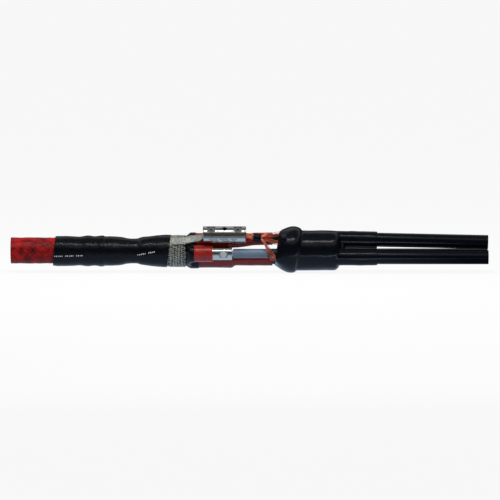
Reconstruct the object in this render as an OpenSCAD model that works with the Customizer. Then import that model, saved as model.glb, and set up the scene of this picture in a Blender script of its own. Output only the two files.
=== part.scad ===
// Transition cable joint: a three-core paper cable on the left, three plastic cables on the right.
// X runs along the joint, -Y is the front, Z is up. Z = 0 is the surface that the joint lies on.

/* [Overall] */
// Length of the joint with its cable stubs
overall_length = 1100; // [1060:10:1300]

/* [Paper cable] */
// Diameter over the red serving
serving_d = 60.8; // [60:0.2:62]
// Wall of the serving
serving_wall = 3.2; // [2.6:0.1:3.8]
// Wall of the steel tape armour
armour_wall = 1.6; // [1.2:0.1:2]
// Wall of the bedding under the armour
bedding_wall = 1.6; // [1.2:0.1:2]
// Wall of the lead sheath
lead_wall = 2; // [1.6:0.1:2.4]
// Wall of the belt paper round the three cores
belt_wall = 1; // [0.6:0.1:1.4]
// Diameter of one paper cable conductor
paper_conductor_d = 12.4; // [10:0.1:13.4]
// Length of armour left bare past the serving
armour_step = 24; // [15:1:30]
// Length of bedding left bare past the armour
bedding_step = 6; // [3:1:10]
// Length of belt paper left bare past the lead sheath
belt_step = 10; // [5:1:12]

/* [Outer sleeve] */
// Left end of the sleeve
sleeve_start = -450; // [-470:1:-430]
// Right end of the sleeve
sleeve_end = -186; // [-190:1:-182]
// Slant of the sleeve's left end
sleeve_start_slant = 5; // [0:1:8]
// Slant of the sleeve's right end
sleeve_end_slant = 7; // [0:1:10]
// Wall of the sleeve
sleeve_wall = 2.9; // [2.4:0.1:3.4]
// How far the sleeve hangs below the paper cable's axis
trunk_sag = 1.3; // [0:0.1:1.6]

/* [Paper core breakout] */
// Radius of the breakout's skirt where it leaves the mesh
skirt_r = 34.8; // [34:0.1:36]
// Wall of the breakout's fingers
paper_finger_wall = 1.5; // [1:0.1:2]
// Length over which the fingers part
palm_length = 10; // [8:1:14]
// Where the fingers end, one for each phase
paper_finger_end = [-123, -127, -117];

/* [Mesh and spring] */
// Wall of the tinned mesh
mesh_wall = 1.3; // [1:0.1:1.6]
// Right end of the mesh
mesh_end = -146.5; // [-150:0.5:-145]
// Number of gaps round the mesh
mesh_columns = 22; // [16:2:24]
// Rows of gaps in the mesh
mesh_rows = 5; // [3:1:5]
// Side of one gap
mesh_gap = 3.4; // [2:0.1:4]
// Width of the roll spring
spring_width = 12; // [8:1:14]
// Wall of the roll spring
spring_wall = 1; // [0.6:0.1:1.2]

/* [Phases] */
// Diameter of a phase connector
connector_d = 30.6; // [28:0.2:31]
// Length of a phase connector
connector_length = 80; // [74:1:84]
// Left end of the phase connectors
connector_start = -120; // [-122:1:-118]
// Diameter of a shear bolt
bolt_d = 15; // [12:0.5:16]
// Diameter of the milled seat round a shear bolt
bolt_seat_d = 21; // [18:0.5:24]
// Depth of the milled seat
bolt_seat_depth = 2.2; // [1.5:0.1:2.6]
// Wall of an insulating tube over its connector
tube_wall = 4; // [3:0.1:4.4]
// Wall of an insulating tube over the plastic core
tube_neck_wall = 3.1; // [2.4:0.1:3.6]
// Right end of the two full insulating tubes
tube_end = 54.9; // [50:0.1:56]
// Where the front tube is cut back
tube_cut = -84.6; // [-96:0.1:-70]
// Room between two insulating tubes
phase_room = 3.1; // [1:0.1:4]
// Turn of the three phases round the joint's axis
phase_turn = 6.5; // [4:0.1:8]
// How far the phases lie below the joint's axis
phase_drop = 2.2; // [1:0.1:3]

/* [Plastic cables] */
// Diameter over the sheath
sheath_d = 32.3; // [31:0.1:33]
// Wall of the sheath
sheath_wall = 3.2; // [2.6:0.1:3.3]
// Diameter over the black core screen
core_d = 22.6; // [21.6:0.1:22.8]
// Wall of the core screen
core_screen_wall = 0.4; // [0.3:0.1:0.8]
// Diameter of the conductor
conductor_d = 13; // [11:0.1:14]
// Where the core screen is cut back
core_screen_start = 41.5; // [34:0.5:46]
// Gap between a phase connector and the insulation
insulation_gap = 2.5; // [1:0.1:5]
// Droop of the top cable and its finger
droop = 1.2; // [0:0.1:1.6]

/* [Boot] */
// Wall of the boot
boot_wall = 3.1; // [2.6:0.1:3.4]
// Where the boot's body ends
boot_body_end = 205; // [202:1:212]
// Where the boot's fingers end
boot_finger_end = 295; // [260:1:320]
// Room between two fingers
finger_room = 9.2; // [6:0.1:11]
// Middle of the collar's widest ring
collar_x = 98; // [94:1:102]
// Diameter of the collar's widest ring
collar_d = 107.8; // [104:0.2:112]
// Length of the collar's flare, from the mouth to the widest ring
collar_front = 35; // [33:0.5:36]
// Length of the collar behind its widest ring
collar_back = 17; // [12:0.5:22]
// Lean of the collar
collar_tilt = 8.5; // [5:0.5:9]
// How far the collar stands above the boot's axis
collar_rise = 2; // [0:0.1:3]
// Lip of the boot round what enters its mouth
mouth_lip = 2.2; // [1.8:0.1:3]
// Depth of the flat that the boot rests on
rest_flat = 1.1; // [0.4:0.1:2]

/* [Earth connection] */
// Diameter of the screen connector
screen_connector_d = 39; // [36:0.5:39.5]
// Length of the screen connector
screen_connector_length = 99; // [92:1:104]
// Left end of the screen connector
screen_connector_start = -107; // [-109:1:-104]
// Bore of the screen connector
screen_bore_d = 20; // [18:0.5:22]
// Diameter of the milled seats of its bolts
screen_seat_d = 23; // [20:0.5:26]
// Depth of the milled seats
screen_seat_depth = 4.4; // [3:0.1:5]
// Width over the flats of a bolt's socket
socket_width = 7.4; // [5:0.1:9]
// Diameter of the inspection hole
sight_hole_d = 11.5; // [8:0.5:13]
// Lean of the bolts, up from the front
screen_bolt_lean = 52; // [45:1:60]
// Diameter of one strand of screen wire
strand_d = 2.05; // [1.6:0.05:2.1]
// Width of the earth braid
braid_width = 22; // [16:0.5:24]
// Thickness of the earth braid
braid_thickness = 2.4; // [2:0.1:2.6]
// Where the braid lies on the mesh, up from the front
braid_lean = 40; // [36:1:46]
// Length of the sleeve round the gathered strands
bunch_sleeve_length = 19; // [15:1:21]
// Wall of that sleeve
bunch_sleeve_wall = 1.8; // [1:0.1:2.2]

/* [Hidden] */

FIT = 0.1;
SMOOTH = 72;
BEND_FACETS = 144;
HULL_FACETS = 40;
OVER = 1;

left_end = -overall_length / 2;
right_end = overall_length / 2;

// Three equal circles inside a ring: radius of each, and distance of their centres from the middle
TRIO = 1 + 2 / sqrt(3);

// What is covered by a sleeve or a finger is abraded first
ABRADED = 0.5;
serving_r = serving_d / 2;
serving_bare_end = sleeve_start - 7;
armour_r = serving_r - serving_wall;
bedding_r = armour_r - armour_wall;
lead_r = bedding_r - bedding_wall;
belt_r = lead_r - lead_wall;
bundle_r = belt_r - belt_wall - FIT;
paper_core_r = (bundle_r - 2 * FIT) / TRIO;
paper_core_ring = bundle_r - FIT - paper_core_r;
paper_conductor_r = paper_conductor_d / 2;

connector_r = connector_d / 2;
tube_bore_r = connector_r + 2 * FIT;
tube_r = tube_bore_r + tube_wall;
core_r = core_d / 2;
insulation_r = core_r - core_screen_wall;
conductor_r = conductor_d / 2;
neck_bore_r = core_r + FIT;
neck_r = neck_bore_r + tube_neck_wall;
sheath_r = sheath_d / 2;
sheath_bore_r = sheath_r - sheath_wall;
finger_bore_r = sheath_r - ABRADED + FIT;
finger_r = finger_bore_r + boot_wall;
phase_ring = (2 * tube_r + phase_room) / sqrt(3);
finger_ring = (2 * finger_r + finger_room) / sqrt(3);

// The joint lies on the flat under its collar, which narrows by this much to its mouth
MOUTH_DROP = 7;
collar_r = collar_d / 2;
function flare_r(s) = s < 0
    ? mouth_r + (collar_r - mouth_r) * cos(90 * s / collar_front)
    : body_r + (collar_r - body_r) * sqrt(max(0, 1 - pow(s / collar_back, 2)));
body_r = finger_ring + finger_r;
mouth_r = body_r - MOUTH_DROP;
collar_rings = [for (k = [-4 : 4]) k < 0 ? k * collar_front / 5 : k * collar_back / 4];
collar_reach = max([for (s = collar_rings) flare_r(s) * cos(collar_tilt) + s * sin(collar_tilt)]);
axis_z = collar_reach - collar_rise - rest_flat;
trunk_z = axis_z - trunk_sag;
phase_z = axis_z - phase_drop;
collar_z = axis_z + collar_rise;
cavity_r = body_r - boot_wall;

// Directions of the three phases, up from the front: in the paper cable and in the boot
phase_angles = [for (i = [0 : 2]) 120 - phase_turn + [0, -120, 120][i]];
finger_angles = [90, -30, 210];
function toward(angle, distance) = [-cos(angle) * distance, sin(angle) * distance];
function phase_pos(i) = [0, phase_z] + toward(phase_angles[i], phase_ring);
function paper_pos(i) = [0, axis_z] + toward(phase_angles[i], paper_core_ring);
function finger_pos(i) = [0, axis_z] + toward(finger_angles[i], finger_ring);

// Stations along the paper cable
serving_end = -344;
armour_end = serving_end + armour_step;
bedding_end = armour_end + bedding_step;
lead_end = -222;
belt_end = lead_end + belt_step;
fan_room = 6;
fan_start = belt_end + fan_room;
fan_end = -137;
tube_start = -135;

// Connectors: the top one sits a little further left, clear of its core's bend
connector_shift = [-8, 0, 0];
function connector_left(i) = connector_start + connector_shift[i];
function connector_right(i) = connector_left(i) + connector_length;
function middle_x(i) = connector_left(i) + connector_length / 2;
shoulder_length = 6;
function tube_stop(i) = i == 1 ? tube_cut : tube_end;

// Plastic cores: where each leaves its line at the connector for its line in the boot
boot_bend_end = 182;
LAP = 0.6;
function bend_start(i) = i == 0 ? connector_right(0) + shoulder_length + OVER : 132;
function bend_end(i) = i == 0 ? 28 : boot_bend_end;
tail_start = boot_bend_end + 2;
sheath_start = tail_start + 2;
finger_end = boot_finger_end;
function route(i) = [
    [left_end, fan_start, paper_pos(i)],
    [fan_end, bend_start(i), phase_pos(i)],
    [bend_end(i), tail_start, finger_pos(i)]
];
function finger_droop(i) = i == 0 ? droop : 0;

// Straight and bent lengths of a section drawn in the YZ plane
module rod(length) {
    rotate([90, 0, 90]) linear_extrude(length) children();
}

module bend(radius, angle) {
    lap = LAP / radius * 180 / PI;
    translate([0, radius, 0]) rotate([0, 0, -90 - lap])
        rotate_extrude(angle = angle + 2 * lap, $fn = BEND_FACETS)
            translate([radius, 0]) mirror([1, 0]) children();
}

// An S of two bends with a short straight between: the first child is the full section, the second is slim
module s_bend(run, shift) {
    turn = 2 * atan(shift / run);
    radius = run / (2 * sin(turn));
    bend(radius, turn) children(1);
    translate([run, shift, 0]) rotate([0, 0, 180]) bend(radius, turn) mirror([1, 0]) children(1);
    translate([run / 2, shift / 2, 0]) rotate([0, 0, turn])
        translate([-2 * LAP, 0, 0]) rod(4 * LAP) children(0);
}

// One layer of a core, from one station to another: straight legs joined by bends
module along(legs, from, to) {
    for (k = [0 : len(legs) - 1]) {
        leg = legs[k];
        left = max(leg[0], from);
        right = min(leg[1], to);
        if (right > left) translate([left, leg[2].x, leg[2].y]) rod(right - left) children(0);
        if (k < len(legs) - 1 && leg[1] >= from && legs[k + 1][0] <= to) {
            step = legs[k + 1][2] - leg[2];
            heading = atan2(step.y, step.x);
            translate([leg[1], leg[2].x, leg[2].y]) rotate([heading, 0, 0])
                s_bend(legs[k + 1][0] - leg[1], norm(step)) {
                    rotate(-heading) children(0);
                    rotate(-heading) children(1);
                }
        }
    }
}

// Past the boot's body each plastic cable runs straight out of its finger, and the top one droops
module in_finger(i, x) {
    place = finger_pos(i);
    translate([tail_start, place.x, place.y]) rotate([0, finger_droop(i), 0])
        translate([x - tail_start, 0, 0]) children();
}

module cable_layer(i, from, to = right_end) {
    along(route(i), from, tail_start) {
        children(0);
        children(1);
    }
    if (from < tail_start) in_finger(i, tail_start - 2 * LAP) rod(4 * LAP) children(1);
    in_finger(i, max(from, tail_start + LAP)) rod(to - max(from, tail_start + LAP)) children(0);
}

module ring(outer, inner) {
    difference() {
        circle(outer, $fn = SMOOTH);
        circle(inner, $fn = SMOOTH);
    }
}

module disc(radius) {
    circle(radius, $fn = SMOOTH);
}

// A bent stretch is drawn this much slimmer than the straights that it runs into
SLIM = 0.05;

// A compacted stranded conductor, drawn in strands near its cut end only
STRANDS = 12;
STRAND_LENGTH = 20;
STRAND_FACETS = 24;
STRAND_RING = 0.78;
module strands(radius) {
    layer_ring = STRAND_RING * radius;
    disc(layer_ring);
    for (k = [0 : STRANDS - 1])
        rotate((k + 0.5) * 360 / STRANDS) translate([layer_ring, 0])
            circle(radius - layer_ring, $fn = STRAND_FACETS);
}

// A body turned about the X axis from points of [x, radius]
module turned(points) {
    rotate([0, 90, 0]) rotate_extrude($fn = SMOOTH) polygon([for (p = points) [p.y, p.x]]);
}

module barrel(from, to, radius) {
    translate([from, 0, 0]) rotate([0, 90, 0]) cylinder(h = to - from, r = radius, $fn = SMOOTH);
}

module on_axis(z) {
    translate([0, 0, z]) children();
}

// Smooth line through points, of any dimension
function knot(a, b, c, d, t) = 0.5 * (2 * b + (c - a) * t + (2 * a - 5 * b + 4 * c - d) * t * t
    + (3 * b - a - 3 * c + d) * t * t * t);
function smooth_line(p, steps) = [
    for (k = [0 : len(p) - 2], j = [0 : steps - 1])
        knot(p[max(k - 1, 0)], p[k], p[k + 1], p[min(k + 2, len(p) - 1)], j / steps),
    p[len(p) - 1]
];

// Sections carried along a line without twist: [0, u, v] is turned from +X to the line's direction
function unit(v) = v / norm(v);
function line_dir(p, k) = unit(p[min(k + 1, len(p) - 1)] - p[max(k - 1, 0)]);
function carried(t, u, v) =
    let (q = (t.y * v - t.z * u) / (1 + t.x))
    [-(t.y * u + t.z * v), t.x * u - t.z * q, t.x * v + t.y * q];

// A swept solid: sections[k] holds the [u, v] points at line[k]
module swept(line, sections) {
    count = len(sections[0]);
    last = len(line) - 1;
    polyhedron(
        points = [
            for (k = [0 : last]) let (t = line_dir(line, k))
                for (s = sections[k]) line[k] + carried(t, s.x, s.y)
        ],
        faces = [
            [for (j = [0 : count - 1]) j],
            [for (j = [count - 1 : -1 : 0]) last * count + j],
            for (k = [0 : last - 1], j = [0 : count - 1])
                let (a = k * count + j, b = k * count + (j + 1) % count)
                each [[a, a + count, b], [b, a + count, b + count]]
        ]
    );
}

// Paper cable
module paper_cable_serving() {
    color([0.72, 0.10, 0.08]) on_axis(axis_z) translate([left_end, 0, 0])
        difference() {
            union() {
                rod(serving_bare_end - left_end) disc(serving_r);
                rod(serving_end - left_end) disc(serving_r - ABRADED);
            }
            translate([-OVER, 0, 0]) rod(serving_end - left_end + 2 * OVER) disc(armour_r + FIT);
        }
}

module paper_cable_armour() {
    color([0.45, 0.46, 0.48]) on_axis(axis_z) translate([left_end, 0, 0])
        rod(armour_end - left_end) ring(armour_r, bedding_r + FIT);
}

module paper_cable_bedding() {
    color([0.20, 0.17, 0.14]) on_axis(axis_z) translate([left_end, 0, 0])
        rod(bedding_end - left_end) ring(bedding_r, lead_r + FIT);
}

module lead_sheath() {
    color([0.50, 0.52, 0.56]) on_axis(axis_z) translate([left_end, 0, 0])
        rod(lead_end - left_end) ring(lead_r, belt_r + FIT);
}

module belt_paper() {
    color([0.78, 0.66, 0.44]) on_axis(axis_z) translate([left_end, 0, 0])
        rod(belt_end - left_end) ring(belt_r, belt_r - belt_wall);
}

module core_fillers() {
    color([0.70, 0.58, 0.38]) translate([left_end, 0, 0]) rod(belt_end - left_end) difference() {
        translate([0, axis_z]) disc(bundle_r - FIT);
        for (i = [0 : 2]) translate(paper_pos(i)) disc(paper_core_r + 2 * FIT);
    }
}

module paper_core(i) {
    color([0.80, 0.68, 0.46]) along(route(i), left_end, connector_left(i) - PAPER_GAP) {
        ring(paper_core_r, paper_conductor_r + FIT);
        ring(paper_core_r - SLIM, paper_conductor_r + FIT + SLIM);
    }
}

module paper_conductor(i) {
    color([0.75, 0.42, 0.28]) {
        translate([left_end, paper_pos(i).x, paper_pos(i).y])
            rod(STRAND_LENGTH + OVER) strands(paper_conductor_r);
        along(route(i), left_end + STRAND_LENGTH, middle_x(i) - CONDUCTOR_GAP) {
            disc(paper_conductor_r);
            disc(paper_conductor_r - SLIM);
        }
    }
}

// Outer sleeve: how far it stands off its wall along its length, as [distance from the left end, swell]
sleeve_swell = [
    [0, -1.4], [14, 0], [48, 0], [66, -1.2], [82, 0.9], [97, 0], [106, 0.2], [117, 1.3], [128, -0.4],
    [143, -0.8], [162, -2.2], [172, -4.6], [184, -5.8], [197, -5.8], [206, -2.9], [217, -1.2], [236, 1],
    [252, 2.2], [262, 3], [276, 3]
];
sleeve_cover_r = serving_r + trunk_sag + sleeve_wall;
sleeve_bell = 2.1;
// Its swells start this far left of its slanted cut, and its bore runs this far past its ends
SLEEVE_LEAD = 6;
SLEEVE_PAST = 30;

module sleeve_bore() {
    on_axis(axis_z) {
        barrel(sleeve_start - SLEEVE_PAST, serving_end + OVER, serving_r - ABRADED + FIT);
        barrel(serving_end, bedding_end + OVER, armour_r + FIT);
        barrel(bedding_end, lead_end, lead_r + FIT);
    }
    on_axis(trunk_z) turned([
        [braid_start - 3, 0], [braid_start - 3, spring_r + FIT], [braid_rise, spring_r + FIT],
        [sleeve_end - 8, braid_out_r + FIT], [sleeve_end + 5, braid_out_r + sleeve_bell],
        [sleeve_end + SLEEVE_PAST, braid_out_r + sleeve_bell], [sleeve_end + SLEEVE_PAST, 0]
    ]);
}

module sleeve_cut(x, slant, side) {
    cut_reach = 2 * sleeve_cover_r;
    on_axis(trunk_z) translate([x, 0, 0]) rotate([0, slant, 0])
        translate([side > 0 ? 0 : -cut_reach, -cut_reach, -cut_reach])
            cube([cut_reach, 2 * cut_reach, 2 * cut_reach]);
}

module outer_sleeve() {
    outline = smooth_line(
        [for (p = sleeve_swell) [sleeve_start - SLEEVE_LEAD + p.x, sleeve_cover_r + p.y]], 3);
    color([0.06, 0.06, 0.07]) difference() {
        on_axis(trunk_z) turned(concat([[outline[0].x, 0]], outline, [[outline[len(outline) - 1].x, 0]]));
        sleeve_bore();
        sleeve_cut(sleeve_start, sleeve_start_slant, -1);
        sleeve_cut(sleeve_end, sleeve_end_slant, 1);
    }
}

// Spring, mesh and braid lie one on another on the lead sheath
mesh_in_r = lead_r + trunk_sag + FIT;
mesh_low_r = mesh_in_r + mesh_wall;
BRAID_ROOM = 0.35;
spring_bore_r = mesh_low_r + braid_thickness + 2 * BRAID_ROOM;
spring_r = spring_bore_r + spring_wall;
braid_start = -242;
braid_rise = -226;
braid_flare = sleeve_end + 1.5;
mesh_flare = sleeve_end + 9;
BRAID_SWELL = 2.4;
braid_out_r = sleeve_cover_r - sleeve_wall + BRAID_SWELL;
mesh_mid_r = braid_out_r - braid_thickness - 2 * BRAID_ROOM;
mesh_top_r = skirt_r + FIT + mesh_wall;
spring_start = braid_start + 2;

module roll_spring() {
    color([0.72, 0.73, 0.75]) on_axis(trunk_z) translate([spring_start, 0, 0])
        rod(spring_width) ring(spring_r, spring_bore_r);
}

function mesh_profile(out) = [
    [braid_start, mesh_in_r + out], [braid_rise, mesh_in_r + out],
    [braid_flare, mesh_mid_r - mesh_wall + out],
    [mesh_flare, skirt_r + FIT + out], [mesh_end, skirt_r + FIT + out]
];

// Knitted mesh: a wall with staggered rows of slanted gaps
module mesh_wrap() {
    inner = mesh_profile(0);
    outer = mesh_profile(mesh_wall);
    band = mesh_end - mesh_flare;
    pitch = band / mesh_rows;
    color([0.55, 0.60, 0.55]) on_axis(trunk_z) difference() {
        turned(concat(outer, [for (k = [len(inner) - 1 : -1 : 0]) inner[k]]));
        for (row = [0 : mesh_rows - 1], column = [0 : mesh_columns - 1])
            translate([mesh_flare + (row + 0.5) * pitch, 0, 0])
                rotate([(column + 0.5 * (row % 2)) * 360 / mesh_columns, 0, 0])
                    translate([-mesh_gap / sqrt(2), 0, skirt_r - OVER]) rotate(-45)
                        cube([mesh_gap, mesh_gap, 4 * mesh_wall]);
    }
}

// Breakout over the paper cores: a skirt on the lead sheath that parts into three fingers
paper_finger_r = tube_r + FIT + paper_finger_wall;
PALM_GAP = 0.5;
PALM_RIM = 2;
palm_start = mesh_end + PALM_GAP;
palm_end = palm_start + palm_length;

module palm_disc(x, place, radius) {
    translate([x, place.x, place.y]) rotate([0, 90, 0]) cylinder(h = PALM_RIM, r = radius, $fn = HULL_FACETS);
}

module paper_breakout() {
    color([0.05, 0.05, 0.06]) difference() {
        union() {
            on_axis(trunk_z) turned([
                [braid_rise, 0], [braid_rise, mesh_in_r - FIT],
                [braid_flare, mesh_mid_r - mesh_wall - FIT],
                [mesh_flare, skirt_r], [palm_start + OVER, skirt_r], [palm_start + OVER, 0]
            ]);
            hull() {
                palm_disc(palm_start, [0, trunk_z], skirt_r);
                for (i = [0 : 2]) palm_disc(palm_end, phase_pos(i), paper_finger_r);
            }
            for (i = [0 : 2]) translate([palm_end, phase_pos(i).x, phase_pos(i).y])
                rod(paper_finger_end[i] - palm_end) disc(paper_finger_r);
        }
        on_axis(axis_z) barrel(braid_rise - OVER, lead_end + FIT, lead_r + FIT);
        on_axis(axis_z) barrel(lead_end - OVER, belt_end + FIT, belt_r + FIT);
        for (i = [0 : 2]) {
            along(route(i), belt_end - OVER, tube_start - FIT) {
                disc(paper_core_r + FIT + SLIM);
                disc(paper_core_r + FIT);
            }
            translate([tube_start - FIT, phase_pos(i).x, phase_pos(i).y])
                rod(paper_finger_end[i] - tube_start + OVER) disc(tube_r + FIT);
        }
    }
}

// Phases: what lies on each paper core, its connector and its insulating tube
oil_wall = 0.9;
// Where the oil barrier tube, the mastic and the paper stop short of the connector
OIL_GAP = 3;
MASTIC_GAP = 1;
PAPER_GAP = 2;
CONDUCTOR_GAP = 2;
oil_bore_r = paper_core_r + FIT;
oil_r = oil_bore_r + oil_wall;

module oil_barrier_tube(i) {
    color([0.85, 0.86, 0.84]) translate([tube_start, phase_pos(i).x, phase_pos(i).y])
        rod(connector_left(i) - OIL_GAP - tube_start) ring(oil_r, oil_bore_r);
}

module stress_mastic(i) {
    color([0.12, 0.12, 0.12]) translate([tube_start, phase_pos(i).x, phase_pos(i).y])
        rod(connector_left(i) - MASTIC_GAP - tube_start) ring(connector_r, oil_r + FIT);
}

module at_connector(i) {
    translate([middle_x(i), phase_pos(i).x, phase_pos(i).y]) children();
}

// Turns +Z to a direction that leans up from the front
module leaning(angle) {
    rotate([90 - angle, 0, 0]) children();
}

BOLT_PITCH = 40;
SHEAR_STUB = 0.6;
HEAD_RISE = 0.4;
conductor_bore_r = max(conductor_r, paper_conductor_r) + 2 * FIT;
stop_half = 1.8;

module phase_connector(i) {
    chamfer = 1.2;
    half = connector_length / 2;
    color([0.74, 0.76, 0.78]) at_connector(i) difference() {
        turned([[-half, 0], [-half, connector_r - chamfer], [chamfer - half, connector_r],
            [half - chamfer, connector_r], [half, connector_r - chamfer], [half, 0]]);
        barrel(-half - OVER, -stop_half, conductor_bore_r);
        barrel(stop_half, half + OVER, conductor_bore_r);
        for (side = [-1, 1]) translate([side * BOLT_PITCH / 2, 0, 0]) leaning(phase_angles[i]) {
            cylinder(h = connector_r + OVER, r = bolt_d / 2 + FIT, $fn = SMOOTH);
            translate([0, 0, connector_r - bolt_seat_depth])
                cylinder(h = bolt_seat_depth + OVER, r = bolt_seat_d / 2, $fn = SMOOTH);
        }
    }
}

// Shear bolts: heads sheared off just above their seats
module phase_bolts(i) {
    tip = conductor_bore_r + FIT;
    top = connector_r - bolt_seat_depth;
    color([0.80, 0.80, 0.78]) at_connector(i) for (side = [-1, 1])
        translate([side * BOLT_PITCH / 2, 0, 0]) leaning(phase_angles[i]) translate([0, 0, tip]) {
            cylinder(h = top - tip, r = bolt_d / 2, $fn = SMOOTH);
            translate([0, 0, top - tip])
                cylinder(h = SHEAR_STUB, r1 = bolt_d / 2, r2 = bolt_d / 2 - SHEAR_STUB, $fn = SMOOTH);
        }
}

// Red tube shrunk on a connector, with a shoulder down to the plastic core
module insulating_tube(i) {
    place = phase_pos(i);
    shoulder = connector_right(i);
    bent = bend_start(i) < tube_stop(i);
    straight_end = bent ? bend_start(i) : tube_stop(i);
    color([0.62, 0.09, 0.08]) if (tube_stop(i) < shoulder) {
        translate([tube_start, place.x, place.y]) rod(tube_stop(i) - tube_start) ring(tube_r, tube_bore_r);
    } else {
        translate([0, place.x, place.y]) difference() {
            turned([[tube_start, 0], [tube_start, tube_r], [shoulder - 1, tube_r],
                [shoulder + shoulder_length, neck_r], [straight_end, neck_r], [straight_end, 0]]);
            turned([[tube_start - OVER, 0], [tube_start - OVER, tube_bore_r], [shoulder + FIT, tube_bore_r],
                [shoulder + shoulder_length - 1, neck_bore_r], [tube_stop(i) + OVER, neck_bore_r],
                [tube_stop(i) + OVER, 0]]);
        }
        if (bent) along(route(i), bend_start(i), tube_stop(i)) {
            ring(neck_r, neck_bore_r);
            ring(neck_r - SLIM, neck_bore_r + SLIM);
        }
    }
}

// Plastic cables, from the connector to the cut end
module cable_conductor(i) {
    color([0.72, 0.74, 0.77]) {
        in_finger(i, right_end - STRAND_LENGTH - OVER) rod(STRAND_LENGTH + OVER) strands(conductor_r);
        cable_layer(i, middle_x(i) + CONDUCTOR_GAP, right_end - STRAND_LENGTH) {
            disc(conductor_r);
            disc(conductor_r - SLIM);
        }
    }
}

module xlpe_insulation(i) {
    color([0.36, 0.50, 0.62]) cable_layer(i, connector_right(i) + insulation_gap) {
        ring(insulation_r - FIT, conductor_r + FIT);
        ring(insulation_r - FIT - SLIM, conductor_r + FIT + SLIM);
    }
}

module core_screen(i) {
    color([0.08, 0.08, 0.09]) cable_layer(i, core_screen_start) {
        ring(core_r, insulation_r);
        ring(core_r - SLIM, insulation_r + SLIM);
    }
}

module cable_sheath(i) {
    color([0.05, 0.05, 0.06]) in_finger(i, sheath_start) difference() {
        union() {
            rod(right_end - sheath_start) disc(sheath_r - ABRADED);
            translate([finger_end + OVER - sheath_start, 0, 0])
                rod(right_end - finger_end - OVER) disc(sheath_r);
        }
        translate([-OVER, 0, 0]) rod(right_end - sheath_start + 2 * OVER) disc(sheath_bore_r);
    }
}

// Screen connector, with its bolts in milled seats and an inspection hole between them
screen_r = screen_connector_d / 2;
screen_middle = screen_connector_start + screen_connector_length / 2;
SCREEN_BOLT_INSET = 19;
screen_bolt_x = screen_connector_length / 2 - SCREEN_BOLT_INSET;
STRAND_ROOM = 0.2;
GATHER_ROOM = 0.3;
bunch_r = 1.5 * strand_d + STRAND_ROOM + FIT;
gather_ring = (bunch_r + GATHER_ROOM) * 2 / sqrt(3);
gather_r = gather_ring + bunch_r;
SCREEN_ROOM = 0.8;
screen_offset = screen_r + tube_r + SCREEN_ROOM;
screen_rise = 18.2;
screen_angle = asin(screen_rise / screen_offset);
screen_pos = phase_pos(0) + [-cos(screen_angle) * screen_offset, screen_rise];
socket_depth = 4;

module at_screen(x) {
    translate([screen_middle + x, screen_pos.x, screen_pos.y]) children();
}

module screen_connector() {
    chamfer = 1.5;
    half = screen_connector_length / 2;
    color([0.70, 0.73, 0.74]) at_screen(0) difference() {
        turned([[-half, 0], [-half, screen_r - chamfer], [chamfer - half, screen_r],
            [half - chamfer, screen_r], [half, screen_r - chamfer], [half, 0]]);
        barrel(-half - OVER, half + OVER, screen_bore_d / 2);
        leaning(screen_bolt_lean) cylinder(h = screen_r + OVER, r = sight_hole_d / 2, $fn = SMOOTH);
        for (side = [-1, 1]) translate([side * screen_bolt_x, 0, 0]) leaning(screen_bolt_lean) {
            cylinder(h = screen_r + OVER, r = bolt_d / 2 + FIT, $fn = SMOOTH);
            translate([0, 0, screen_r - screen_seat_depth])
                cylinder(h = screen_seat_depth + OVER, r = screen_seat_d / 2, $fn = SMOOTH);
        }
    }
}

// What each bolt presses on, measured along the bolt from the connector's axis
gather_offset = screen_bore_d / 2 - gather_r - FIT;
strand_press = gather_r - gather_offset + FIT;
braid_end_width = 14;
braid_end_thickness = 5.6;
braid_offset = 5;
braid_press = braid_end_thickness / 2 - braid_offset + FIT;

module screen_bolt(press) {
    top = screen_r - screen_seat_depth + HEAD_RISE;
    translate([0, 0, press]) difference() {
        cylinder(h = top - press, r = bolt_d / 2, $fn = SMOOTH);
        translate([0, 0, top - press - socket_depth])
            cylinder(h = socket_depth + OVER, r = socket_width / sqrt(3), $fn = 6);
    }
}

module screen_bolts() {
    color([0.66, 0.68, 0.70]) {
        at_screen(-screen_bolt_x) leaning(screen_bolt_lean) screen_bolt(braid_press);
        at_screen(screen_bolt_x) leaning(screen_bolt_lean) screen_bolt(strand_press);
    }
}

// Earth braid: a ribbed flat strip from the spring to the screen connector's bore
BRAID_RIBS = 8;
BRAID_POINTS = 32;
braid_rest_r = mesh_top_r + braid_thickness / 2 + BRAID_ROOM;
braid_low_r = mesh_low_r + braid_thickness / 2 + BRAID_ROOM;
braid_mid_r = mesh_mid_r + braid_thickness / 2 + BRAID_ROOM;
function braid_on_trunk(x, radius) = let (p = [0, trunk_z] + toward(braid_lean, radius)) [x, p.x, p.y];
function braid_in_bore(x) = let (p = screen_pos - toward(screen_bolt_lean, braid_offset)) [x, p.x, p.y];
braid_line = concat(
    [braid_on_trunk(braid_start, braid_low_r), braid_on_trunk(braid_rise, braid_low_r),
     braid_on_trunk(sleeve_end - 4, braid_mid_r)],
    smooth_line([
        braid_on_trunk(sleeve_end + 3, braid_mid_r + 1.1),
        braid_on_trunk(mesh_flare - 1, braid_rest_r + 0.8),
        braid_on_trunk(mesh_flare + 18, braid_rest_r + 0.6),
        braid_on_trunk(mesh_end + 8, braid_rest_r + 1.4),
        braid_in_bore(screen_connector_start - 14) + [0, -1, -3],
        braid_in_bore(screen_connector_start + 4),
        braid_in_bore(screen_middle - 8)
    ], 2)
);
function braid_squeeze(x) = max(0, min(1, (x - screen_connector_start + 30) / 26));
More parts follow.
